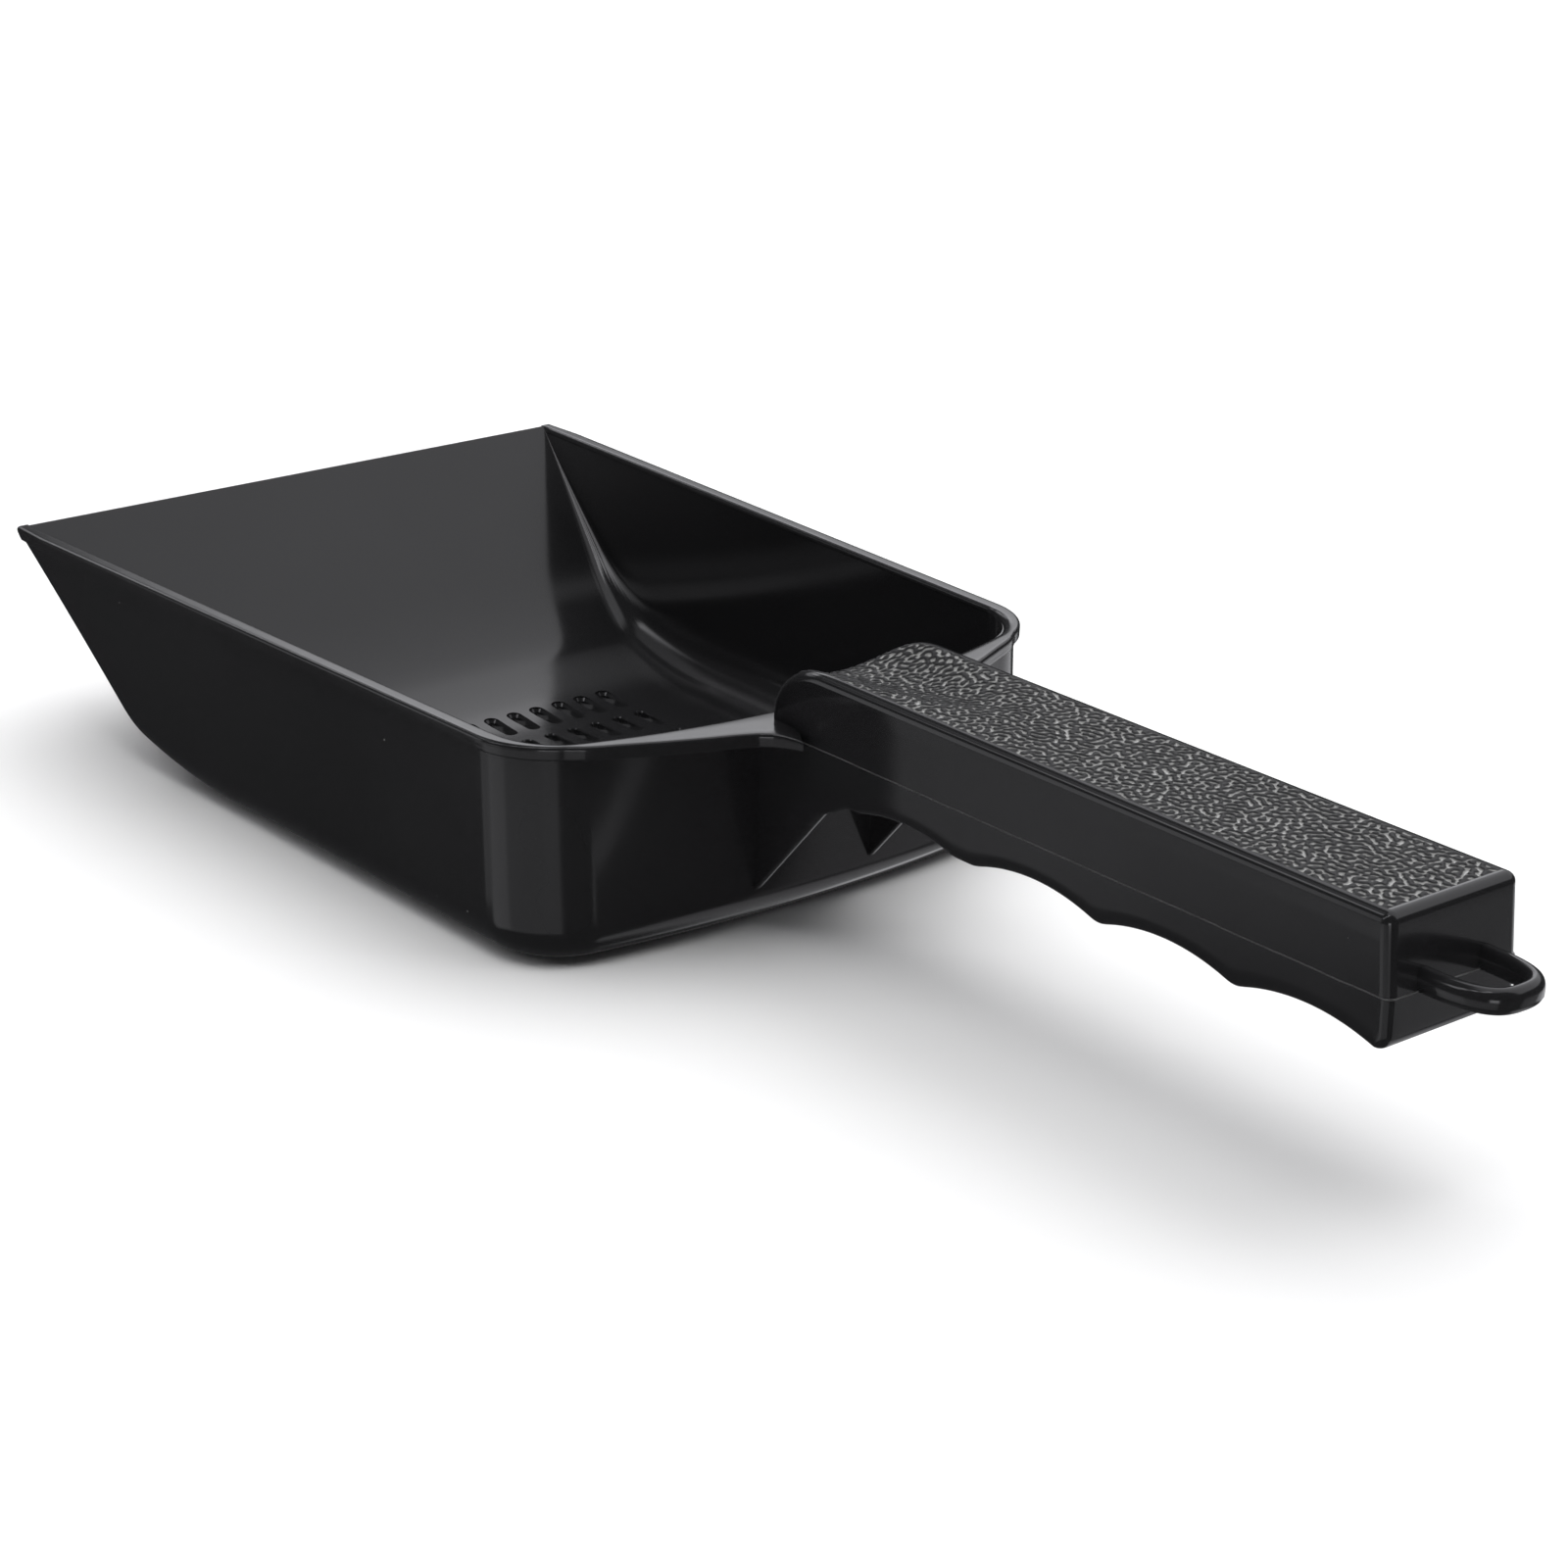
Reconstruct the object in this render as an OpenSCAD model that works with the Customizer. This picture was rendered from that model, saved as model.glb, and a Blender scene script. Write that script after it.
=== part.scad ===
// Grain scoop shovel: an open, square-lipped pan with a straight hollow grip behind it.
// Two plastic mouldings: the scoop (pan, rim, side webs, lower half of the grip) and the
// grip cover (upper half of the grip with its thumb rest, grained top and hang ring).
// Axes: +X from the pan towards the grip, +Y to the left of the user, +Z up.
// Origin: on the ground, under the middle of the pan's flat floor, on the centre plane.

/* [Pan] */
// length from the lip to the rear wall at its middle
pan_l = 153.4; // [130:0.2:190]
// width over the rim at the lip
lip_w = 114; // [104:1:130]
// width over the rim that the two sides would reach at the rear wall
rear_w = 101.8; // [95:0.2:104]
// depth from the rim to the underside of the floor
pan_h = 35.7; // [31:0.1:44]
// thickness of the floor and the walls
wall = 1.8; // [1.4:0.1:2.4]
// slope of the front ramp above the ground
ramp_angle = 43.7; // [38:0.1:50]
// slope where the front ramp's bend ends
bend_a = 17.2; // [12:0.2:22]
// radius of the bend at the foot of the front ramp
bend_r = 13.5; // [8:0.5:18]
// radius of the long run-out from the bend to the flat floor
run_r = 106.5; // [80:0.5:120]
// height of the blunt front edge
lip_t = 1.1; // [0.8:0.1:1.6]
// width of the flat on top of the front edge
lip_land = 0.6; // [0.3:0.1:1]
// radius of the rear corners seen from above
corner_r = 14; // [10:0.5:18]
// radius of the edge between the floor and the walls, outside
floor_r = 6.5; // [4.5:0.5:8]
// radius of the same edge inside the pan, where it grows out of a sharp lip
inside_r = 9.2; // [6:0.2:10]
// radius of the bow of the rear wall at the rim
rear_bow_r = 131; // [110:1:220]
// how far the foot of the rear wall stands in front of its top
rear_draft = 2.6; // [1.5:0.1:4]
// how far the foot of each side wall stands inside its top, at the middle of the pan
side_draft = 1.6; // [0.5:0.1:3]

/* [Sifting slots] */
// length of one slot
slot_l = 7.8; // [5:0.1:9]
// distance of the first row's front end from the lip
slot_front = 53.8; // [48:0.2:60]
// width of one slot
slot_w = 2; // [1.2:0.1:2.6]
// distance from one row to the next
row_pitch = 11.1; // [10:0.1:13]
// distance between neighbours in a row
slot_pitch = 4.8; // [4:0.1:5.6]
// number of rows
slot_rows = 5; // [1:1:6]
// number of slots in a row
slot_count = 13; // [3:2:15]

/* [Rim] */
// height of the bead round the rim
bead_h = 2.2; // [1.6:0.1:3]
// how far the bead stands out from the wall
bead_out = 1; // [0.6:0.1:1.6]
// width of the flat flange beside the grip
flange_w = 5.6; // [4:0.1:7]
// radius of the hollow corner between the flange and the grip
flange_r = 7; // [4:0.5:9]
// how far the flange's edge slopes in from that corner
flange_slope = 0.6; // [0.2:0.1:1.2]
// where the flange leaves the rear corner, as an angle from the centre line
flange_a = 25; // [20:1:40]

/* [Grip] */
// length of the grip from the rear wall to its end
grip_l = 125; // [115:0.5:150]
// width of the grip
grip_w = 24.3; // [21:0.1:28]
// height of the cover's top above the rim
cover_h = 9.5; // [8.5:0.1:12]
// depth of the seam between the two halves below the rim
seam_z = 1.7; // [1.2:0.1:2]
// depth of the finger ridges below the rim
ridge_z = 9.4; // [9:0.1:11]
// depth of one finger hollow
hollow_d = 2.1; // [1.2:0.1:2.4]
// distance from one finger ridge to the next
ridge_pitch = 25.9; // [24:0.1:26.4]
// wall thickness of the two grip halves
shell = 2; // [1.6:0.1:2.2]
// radius of the cover's long top edges
edge_r = 1.5; // [1:0.1:2]
// gap between the rear wall and the grip's nose at the rim
nose_gap = 1.5; // [0.5:0.1:2.5]
// length of the rounded nose
nose_l = 11; // [8:0.5:14]
// length of the flat foot behind the last finger hollow
end_land = 1; // [0.5:0.1:2]
// how far the cover's end leans in at its top
end_draft = 0.7; // [0.2:0.1:1.2]
// how far the front hollow stands forward of the others' spacing
front_shift = 1.5; // [0:0.1:2]
// how much shallower the front hollow is than the others
front_drop = 0.6; // [0:0.1:1]
// depth of the thumb rest at the nose
thumb_d = 4; // [2:0.1:4.6]
// length of the thumb rest
thumb_l = 34; // [24:1:40]

/* [Webs] */
// thickness of each side web
web_t = 1.7; // [1.4:0.1:2.4]
// depth of the web's foot below the rim
web_z = 29; // [22:0.5:29.5]
// length of the web along the underside of the grip, from the rear wall's top
web_l = 13.6; // [11:0.1:16]
// how far the grip's underside drops below the ridges at the webs
web_drop = 2.6; // [1.5:0.1:3.5]

/* [Grain panel] */
// margin between the grained panel and the side of the grip
panel_margin = 1.6; // [1.2:0.1:3]
// depth of the grained skin
panel_t = 0.4; // [0.3:0.05:0.6]

/* [Inside of the grip] */
// distance of the front cross rib from the rear wall
rib_front = 23.8; // [18:0.2:30]
// distance of the middle cross rib from the grip's end
rib_middle = 44.4; // [36:0.2:60]
// distance of the rear cross rib from the grip's end
rib_rear = 18.1; // [10:0.1:24]
// thickness of the cross ribs
rib_t = 1.6; // [1.2:0.1:2]
// radius of the locating pins
pin_r = 1.4; // [1.2:0.1:1.8]
// gap round each pin in its socket
pin_gap = 0.1; // [0.05:0.05:0.2]

/* [Hang ring] */
// width of the ring's hole
ring_hole_w = 8.9; // [6:0.1:10]
// length of the ring's hole
ring_hole_l = 9.6; // [8:0.1:12]
// width of the ring's bar
ring_bar = 2.6; // [2.2:0.1:3]
// height of the ring's bar
ring_h = 3.6; // [3.2:0.1:5]
// height of the ring's middle above the rim
ring_z = -0.4; // [-1:0.1:1.5]

/* [Hidden] */
$fn = 64;
eps = 0.01;
over = 1;
hull_fn = 24;

plastic = [0.035, 0.035, 0.037];
grained = [0.06, 0.06, 0.062];

// plan of the wall's outside at the rim: two straight sides, two corners, a bowed rear
side_top = lip_w / 2 - bead_out;
side_tilt = atan((lip_w - rear_w) / 2 / pan_l);
bow_x = pan_l - rear_bow_r;
// the foot of the walls is nearly parallel
foot_half = (side_top + rear_w / 2 - bead_out) / 2 - side_draft;
foot_tilt = side_tilt / 3;
foot_mid = pan_l / 2;

// front ramp: a straight slope, a bend and a long shallow run-out to the floor
slope_drop = pan_h - lip_t - bend_r * (cos(bend_a) - cos(ramp_angle)) - run_r * (1 - cos(bend_a));
slope_x = slope_drop / tan(ramp_angle);
bend_x = slope_x + bend_r * (sin(ramp_angle) - sin(bend_a));
flat_x = bend_x + run_r * sin(bend_a);
ramp_pts = concat([[0, -lip_t, ramp_angle]],
    [for (i = [0:3]) let (a = ramp_angle + (bend_a - ramp_angle) * i / 3)
        [slope_x + bend_r * (sin(ramp_angle) - sin(a)),
         -lip_t - slope_drop - bend_r * (cos(a) - cos(ramp_angle)), a]],
    [for (i = [1:4]) let (a = bend_a * (1 - i / 4))
        [bend_x + run_r * (sin(bend_a) - sin(a)),
         -pan_h + run_r * (1 - cos(a)), a]]);

// centre of a rear corner's arc: touches the straight side and the bowed rear
function corner_at(half, tilt, r, bow, x0) =
    let (n = [sin(tilt), cos(tilt)], t = [cos(tilt), -sin(tilt)],
         q = (half * cos(tilt) - r) * n - [x0, 0],
         s = -q * t + sqrt(pow(q * t, 2) - q * q + pow(bow - r, 2)))
    q + [x0, 0] + s * t;
top_corner = corner_at(side_top, side_tilt, corner_r, rear_bow_r, bow_x);
bow_end = atan(top_corner[1] / (top_corner[0] - bow_x));
bow_mid = asin(grip_w / 2 / rear_bow_r);
rear_top_x = bow_x + rear_bow_r * cos(bow_mid);
rear_foot_x = rear_top_x - rear_draft;
function half_outline(off, front) = concat(
    [[front, side_top + off / cos(side_tilt) - front * tan(side_tilt)]],
    [for (i = [0:10]) let (a = 90 - side_tilt + (bow_end - 90 + side_tilt) * i / 10)
        top_corner + (corner_r + off) * [cos(a), sin(a)]],
    [for (i = [1:5]) let (a = bow_end + (bow_mid - bow_end) * i / 5)
        [bow_x + (rear_bow_r + off) * cos(a), (rear_bow_r + off) * sin(a)]]);
function flip(pts) = [for (i = [len(pts) - 1:-1:0]) [pts[i][0], -pts[i][1]]];
function outline(off, front) = concat(half_outline(off, front), flip(half_outline(off, front)));
function foot_y(x) = foot_half - (x - foot_mid) * tan(foot_tilt);
function side_y(x, z) = let (s = -z / pan_h)
    (1 - s) * (side_top - x * tan(side_tilt)) + s * foot_y(x);
function rear_x(z) = rear_top_x - rear_draft * (-z) / (pan_h - floor_r);
foot_corner = [rear_foot_x - corner_r, foot_y(rear_foot_x) - corner_r];
base_x = (flat_x + rear_foot_x - floor_r) / 2;

// grip stations along X
nose_x = rear_top_x + nose_gap;
grip_end = pan_l + grip_l;
half_w = grip_w / 2;
web_x = rear_top_x + web_l;
web_top_z = ridge_z + web_drop;
ridge_last = grip_end - end_land;
hollow_r = (pow(ridge_pitch / 2 - 0.5, 2) + pow(hollow_d, 2)) / 2 / hollow_d;
lower_floor_z = ridge_z - hollow_d - shell;
rib_x = [pan_l + rib_front, grip_end - rib_middle, grip_end - rib_rear];
ring_r = (ring_hole_w + ring_bar) / 2;
ring_straight = ring_hole_l - ring_hole_w / 2;

module place() { translate([-base_x, 0, pan_h]) children(); }

// a bar along Y from a side view drawn in X and Z
module across(w) { rotate([90, 0, 0]) linear_extrude(height = w, center = true) children(); }

// the edge between ramp and side wall is sharp at the lip and full at the flat floor
function edge_growth(x, inset) = let (u = min(1, x / flat_x))
    inset > 0 ? pow(sin(90 * u), 1.6) : u;

// the pan's full volume, inset by the wall for the hollow
module pan_volume(inset) {
    r = inset > 0 ? inside_r : floor_r;
    hull() {
        // the rim's plan: straight down through the bead on the inside, drafted below it
        if (inset > 0) for (z = [over, -bead_h])
            translate([0, 0, z]) linear_extrude(height = eps)
                polygon(outline(-inset, lip_land - z / tan(ramp_angle)));
        else {
            translate([0, 0, -eps]) linear_extrude(height = eps) polygon(outline(0, 0));
            translate([0, -side_top, -lip_t]) cube([eps, 2 * side_top, lip_t]);
        }
        for (m = [0, 1]) mirror([0, m, 0]) {
            translate([foot_corner[0], foot_corner[1], -pan_h + inset + r])
                rotate_extrude($fn = hull_fn * 2) intersection() {
                    translate([corner_r - inset - r, 0]) circle(r = r, $fn = hull_fn);
                    translate([0, -r]) square([corner_r, 2 * r]);
                }
            for (i = [1:len(ramp_pts) - 1])
                let (p = ramp_pts[i], rr = max(0.4, r * edge_growth(p[0], inset)))
                    translate([p[0] + (inset + rr) * sin(p[2]), side_y(p[0], p[1]) - inset - rr,
                               p[1] + (inset + rr) * cos(p[2])])
                        sphere(r = rr, $fn = hull_fn);
        }
        // flat foot, and the flat strip of the rear wall that carries the grip
        translate([flat_x, -foot_y(flat_x) + inset + r, -pan_h + inset])
            cube([foot_corner[0] - flat_x, 2 * (foot_y(flat_x) - inset - r), eps]);
        translate([rear_foot_x - inset - eps, -half_w, -pan_h + inset + r])
            cube([eps, grip_w, eps]);
    }
}

module slots() {
    for (i = [0:slot_rows - 1], j = [0:slot_count - 1])
        translate([slot_front + i * row_pitch, (j - (slot_count - 1) / 2) * slot_pitch, -pan_h - over])
            linear_extrude(height = wall + 3 * over) {
                translate([slot_w / 2, -slot_w / 2]) square([slot_l - slot_w, slot_w]);
                for (x = [slot_w / 2, slot_l - slot_w / 2]) translate([x, 0]) circle(d = slot_w, $fn = 8);
            }
}

// plan of the rear flange: widens towards the grip and ends in a hollow corner
flange_x = rear_top_x + flange_w;
flange_half = concat(
    [top_corner, top_corner + (corner_r + bead_out) * [cos(flange_a), sin(flange_a)],
     [flange_x - flange_slope, half_w + flange_r]],
    [for (i = [0:6]) let (a = 180 + 15 * i)
        [flange_x + flange_r + flange_r * cos(a), half_w + flange_r + flange_r * sin(a)]]);

module rim_band() {
    translate([0, 0, -bead_h]) linear_extrude(height = bead_h) difference() {
        union() {
            polygon(outline(bead_out, 0));
            polygon(concat(flange_half, flip(flange_half)));
        }
        polygon(outline(-wall, -over));
    }
}

// everything below the underside of the front ramp
module below_ramp() {
    translate([0, -lip_w, -lip_t]) rotate([0, ramp_angle, 0])
        translate([-2 * lip_t, 0, -20]) cube([60, 2 * lip_w, 20]);
}

module grip_block() {
    translate([nose_x, -half_w, -pan_h]) cube([grip_l, grip_w, 2 * pan_h]);
}

module pan() place() color(plastic) difference() {
    pan_volume(0);
    pan_volume(wall);
    rim_band();
    slots();
}

module rim() place() color(plastic) difference() {
    rim_band();
    below_ramp();
    grip_block();
}

// a side web: a 45 degree brace from the rear wall to the underside of the grip
module web(side) place() color(plastic)
    translate([0, side * (half_w - web_t / 2), 0]) across(web_t)
        polygon([[rear_x(-web_top_z), -web_top_z], [web_x, -web_top_z], [web_x - 1.2, -web_top_z - 0.7],
                 [rear_x(-web_z) + 1, -web_z + 0.4], [rear_x(-web_z), -web_z]]);
module web_left() web(1);
module web_right() web(-1);

module grip_lower() place() color(plastic) difference() {
    across(grip_w) difference() {
        polygon([[nose_x, -seam_z], [grip_end, -seam_z], [grip_end, -ridge_z], [web_x + 6, -ridge_z],
                 [web_x, -web_top_z], [rear_x(-web_top_z), -web_top_z],
                 [rear_x(-bead_h), -bead_h], [nose_x, -bead_h]]);
        for (i = [0:3])
            translate([ridge_last - (i + 0.5) * ridge_pitch - (i == 3 ? front_shift : 0),
                       -ridge_z + hollow_d - hollow_r - (i == 3 ? front_drop : 0)])
                circle(r = hollow_r, $fn = 128);
    }
    translate([nose_x + shell, -half_w + shell, -lower_floor_z])
        cube([grip_end - nose_x - 2 * shell, grip_w - 2 * shell, pan_h]);
}

// cross ribs of the lower half, each with a socket for one of the cover's pins
module lower_ribs() place() color(plastic) difference() {
    for (x = rib_x) {
        translate([x - rib_t / 2, -half_w + shell, -lower_floor_z])
            cube([rib_t, grip_w - 2 * shell, lower_floor_z - seam_z]);
        translate([x, 0, -lower_floor_z]) cylinder(r = pin_r + 1.6, h = lower_floor_z - seam_z);
    }
    for (x = rib_x) translate([x, 0, -lower_floor_z + 0.6]) cylinder(r = pin_r + pin_gap, h = pan_h);
}

// side view of the cover, or of its hollow when inset
module cover_side(inset) {
    polygon(concat([[nose_x + inset, -seam_z - (inset > 0 ? over : 0)]],
        [for (i = [0:12]) let (a = 180 - 7.5 * i)
            [nose_x + nose_l + (nose_l - inset) * cos(a), 0.5 + (cover_h - 0.5 - inset) * sin(a)]],
        [[grip_end - inset - end_draft, cover_h - inset], [grip_end - inset, -seam_z - (inset > 0 ? over : 0)]]));
}

// a long round cut, sloping up to nothing, that hollows the thumb rest
module thumb_cut(grow) {
    thumb_r = (pow(half_w - 1, 2) + pow(thumb_d, 2)) / 2 / thumb_d;
    translate([nose_x + 3, 0, cover_h - thumb_d]) rotate([0, 90 - atan(thumb_d / thumb_l), 0])
        translate([-thumb_r, 0, -12]) cylinder(r = thumb_r + grow, h = thumb_l + 40, $fn = 128);
}

// outside of the cover: rounded nose, long rounded top edges, thumb rest
module cover_body() {
    difference() {
        intersection() {
            across(grip_w) cover_side(0);
            translate([nose_x - over, 0, 0]) rotate([90, 0, 90]) linear_extrude(height = grip_end - nose_x + 2 * over)
                union() {
                    translate([-half_w, -seam_z - over]) square([grip_w, cover_h + seam_z + over - edge_r]);
                    translate([-half_w + edge_r, 0]) square([grip_w - 2 * edge_r, cover_h]);
                    for (s = [-1, 1]) translate([s * (half_w - edge_r), cover_h - edge_r]) circle(r = edge_r);
                }
        }
        thumb_cut(0);
    }
}

module cover_hollow() {
    difference() {
        across(grip_w - 2 * shell) cover_side(shell);
        thumb_cut(shell);
    }
}

module panel_column() {
    translate([nose_x + 1, -half_w + panel_margin, 1.5])
        cube([grip_end - nose_x - 1 - panel_margin, grip_w - 2 * panel_margin, cover_h]);
}

module grip_cover() place() color(plastic) difference() {
    union() {
        difference() { cover_body(); panel_column(); }
        intersection() { translate([panel_t, 0, -panel_t]) cover_body(); panel_column(); cover_body(); }
    }
    cover_hollow();
}

// cross ribs of the cover, each with a pin that drops into the lower half's socket
module cover_ribs() place() color(plastic) for (x = rib_x) {
    intersection() {
        translate([x - rib_t / 2, -half_w, -seam_z]) cube([rib_t, grip_w, cover_h + seam_z]);
        cover_hollow();
    }
    translate([x, 0, -lower_floor_z + 0.9]) cylinder(r = pin_r, h = lower_floor_z - seam_z);
}

module grain_panel() place() color(grained) difference() {
    intersection() { cover_body(); panel_column(); }
    translate([panel_t, 0, -panel_t]) cover_body();
}

// a flat-sided oval bar bent into a loop, standing out from the end of the cover
module ring_section() {
    square([ring_bar, ring_h - ring_bar], center = true);
    for (s = [-1, 1]) translate([0, s * (ring_h - ring_bar) / 2]) circle(d = ring_bar);
}

module hang_ring() place() color(plastic) translate([grip_end, 0, ring_z]) {
    for (s = [-1, 1]) translate([0, s * ring_r, 0]) rotate([90, 0, 90])
        linear_extrude(height = ring_straight) ring_section();
    translate([ring_straight, 0, 0]) rotate([0, 0, -90]) rotate_extrude(angle = 180)
        translate([ring_r, 0]) ring_section();
}

pan();
rim();
web_left();
web_right();
grip_lower();
lower_ribs();
grip_cover();
cover_ribs();
grain_panel();
hang_ring();
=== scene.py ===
# %% [markdown]
# # A moulded grain scoop
# The scoop is two black polypropylene mouldings. The lower one is the open pan with its beaded rim,
# its sifting slots, two side webs and the lower half of the grip. The upper one is the grip's cover,
# with a leather-grained top and a ring to hang it by. This file gives each region of them its finished
# surface around the fixed CAD frame.

import math

import bpy
import bmesh
import numpy as np
from mathutils import Matrix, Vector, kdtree


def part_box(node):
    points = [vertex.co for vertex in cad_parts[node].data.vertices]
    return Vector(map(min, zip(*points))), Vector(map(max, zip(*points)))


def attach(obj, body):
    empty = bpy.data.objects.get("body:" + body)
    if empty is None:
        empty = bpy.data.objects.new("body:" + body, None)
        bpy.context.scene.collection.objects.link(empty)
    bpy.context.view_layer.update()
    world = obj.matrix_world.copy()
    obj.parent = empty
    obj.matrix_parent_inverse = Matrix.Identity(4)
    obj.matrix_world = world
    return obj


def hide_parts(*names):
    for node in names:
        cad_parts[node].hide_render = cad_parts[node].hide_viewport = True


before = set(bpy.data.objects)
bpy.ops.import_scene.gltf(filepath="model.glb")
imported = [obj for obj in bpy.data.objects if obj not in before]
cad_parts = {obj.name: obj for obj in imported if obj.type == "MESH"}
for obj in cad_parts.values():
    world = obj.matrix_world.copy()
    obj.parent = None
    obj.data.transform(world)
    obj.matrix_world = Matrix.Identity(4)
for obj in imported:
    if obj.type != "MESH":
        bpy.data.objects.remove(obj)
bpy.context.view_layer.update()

# %% [markdown]
# All sizes are in millimetres, measured from the pan's lip (x), the centre plane (y) and the top of
# the rim (z). One function moves them into the frame and turns them to metres.

# %% Sizes and the one change of place
# the pan: width at the lip and at the rear, length, depth, wall, corners, and the bow of the rear wall
LIP_W, REAR_W, PAN_L, PAN_H, WALL = 114.0, 101.8, 153.4, 35.7, 1.8
CORNER_R, BOW_R = 14.0, 131.0
# how far the walls lean in from rim to floor, and the rounding that ends them, outside and inside
REAR_DRAFT, SIDE_DRAFT = 2.6, 1.6
FLOOR_R, INSIDE_R = 6.5, 9.2
# the ramp: the lip's thickness and its flat top, the slope, the bend, the run-out, and its end
LIP_T, LIP_LAND = 1.1, 0.6
RAMP_A, BEND_A = math.radians(43.7), math.radians(17.2)
BEND_R, RUN_R, FLAT_X = 13.5, 106.5, 64.8
# the bead of the rim: how high it is and how far it stands out
BEAD_H, BEAD_OUT = 2.2, 1.0
# the grip: width, top above the rim, seam and ridges below it, and the two ends
GRIP_W, COVER_H, SEAM_Z, RIDGE_Z = 24.3, 9.5, 1.7, 9.4
NOSE_X, GRIP_END = 154.34, 278.4
# the frame's origin is this far behind the lip
BASE_X = 104.25


def to_frame(p):
    p = np.asarray(p, float)
    return (p + np.array([-BASE_X, 0.0, PAN_H])) / 1000.0


lo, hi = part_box("pan")
print("pan starts at %.2f mm, made here at %.2f mm" % (lo.x * 1000, -BASE_X))

# %% [markdown]
# Every surface here is a grid of points worked out from a rule, because glossy black plastic shows
# the smallest lump in a mesh as a wobble in its reflections. A grid that follows the edges of the
# moulding stays smooth. Points that land on each other are merged, and the faces are turned outwards.


# %% A mesh from grids of points
def smooth_piece(name, points, faces, angle=32.0, weld=2e-6):
    mesh = bpy.data.meshes.new(name)
    bm = bmesh.new()
    verts = [bm.verts.new(p) for p in to_frame(points)]
    for f in faces:
        f = [i for k, i in enumerate(f) if i != f[k - 1]]
        if len(f) > 2:
            try:
                bm.faces.new([verts[i] for i in f])
            except ValueError:
                pass
    bmesh.ops.remove_doubles(bm, verts=bm.verts, dist=weld)
    bmesh.ops.dissolve_degenerate(bm, edges=bm.edges, dist=weld / 2)
    bmesh.ops.recalc_face_normals(bm, faces=bm.faces)
    open_edges = sum(1 for e in bm.edges if len(e.link_faces) != 2)
    volume = bm.calc_volume(signed=True)
    if volume < 0:
        bmesh.ops.reverse_faces(bm, faces=bm.faces)
    bm.to_mesh(mesh)
    bm.free()
    obj = bpy.data.objects.new(name, mesh)
    bpy.context.scene.collection.objects.link(obj)
    finish_shading(obj, angle)
    print(name, len(mesh.polygons), "faces,", open_edges, "open edges, %.2f cm3" % (abs(volume) * 1e6))
    return obj


def finish_shading(obj, angle=32.0):
    mesh = obj.data
    mesh.shade_smooth()
    mesh.set_sharp_from_angle(angle=math.radians(angle))


def grid_faces(rows, cols, start=0, close=False):
    out = []
    for i in range(rows - 1):
        here, above = start + i * cols, start + (i + 1) * cols
        for j in range(cols if close else cols - 1):
            k = (j + 1) % cols
            out.append((here + j, here + k, above + k, above + j))
    return out


def end_lids(rows, cols):
    return [tuple(range(cols)), tuple((rows - 1) * cols + j for j in range(cols))]


def tube_faces(rows, cols):
    """Rings joined one to the next, with a lid on both ends."""
    return grid_faces(rows, cols, close=True) + end_lids(rows, cols)


def bar_faces(rows, cols):
    """Open strips joined one to the next, closed along the base and at both ends."""
    base = [(i * cols, (i + 1) * cols, (i + 2) * cols - 1, (i + 1) * cols - 1) for i in range(rows - 1)]
    return grid_faces(rows, cols) + base + end_lids(rows, cols)


# %% Small helpers for lines
FLIP = np.array([1, -1, 1])


def quarter(count):
    return np.linspace(0, math.pi / 2, count)


def way_along(p):
    return np.concatenate([[0], np.hypot(*np.diff(p, axis=0).T)]).cumsum()


def evenly(p, count):
    way = way_along(p)
    fine = np.linspace(0, way[-1], count)
    return np.stack([np.interp(fine, way, p[:, 0]), np.interp(fine, way, p[:, 1])], 1)


def soften(p, times):
    """Averages each point with its neighbours, which rounds a line's kinks."""
    for _ in range(times):
        p[1:-1] = 0.5 * p[1:-1] + 0.25 * (p[:-2] + p[2:])
    return p


def unit(v):
    v = np.asarray(v, float)
    return v / np.linalg.norm(v, axis=-1, keepdims=True)


# %% [markdown]
# The pan's plan is two straight sides that close in a little towards the grip, two rounded corners
# and a rear wall that bows outwards. The same kind of line, a little smaller, is the foot of the
# walls. Both lines are stepped together, so that each step is one upright section of the pan.


# %% The plan lines of the pan
def plan_line(half, tilt, radius, bow_r, bow_end_x, n_side, n_corner, n_rear):
    """Points, and the angles they face, from the lip along the left side to the centre plane."""
    bow_x = bow_end_x - bow_r
    n = np.array([math.sin(tilt), math.cos(tilt)])
    t = np.array([math.cos(tilt), -math.sin(tilt)])
    # the centre of the corner, which touches both the straight side and the bow
    q = (half * math.cos(tilt) - radius) * n - np.array([bow_x, 0.0])
    s = -q @ t + math.sqrt((q @ t) ** 2 - q @ q + (bow_r - radius) ** 2)
    c = q + np.array([bow_x, 0.0]) + s * t
    end = math.atan2(c[1], c[0] - bow_x)
    pts, ang = [], []
    x1 = c[0] + radius * math.sin(tilt)
    for k in range(n_side):
        x = x1 * (k / n_side)
        pts.append((x, half - x * math.tan(tilt)))
        ang.append(math.pi / 2)
    for k in range(n_corner):
        f = k / n_corner
        a = (math.pi / 2 - tilt) * (1 - f) + end * f
        pts.append((c[0] + radius * math.cos(a), c[1] + radius * math.sin(a)))
        # the sides face straight out, and the corner takes over from them gently
        ang.append(math.pi / 2 * (1 - f) + end * f if f < 0.3 else a + tilt * (1 - f) * 0.6)
    y_end = bow_r * math.sin(end)
    # shares of the bow: closer steps where the flange turns into the grip, few under the grip
    even, close = np.linspace(1.0, 0.42, n_rear), np.linspace(0.42, 0.31, n_rear)[1:]
    for f in (*even, *close, 0.2, 0.1, 0.0):
        a = math.asin(y_end * f / bow_r)
        pts.append((bow_x + bow_r * math.cos(a), bow_r * math.sin(a)))
        ang.append(a)
    return np.array(pts), np.array(ang)


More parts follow.
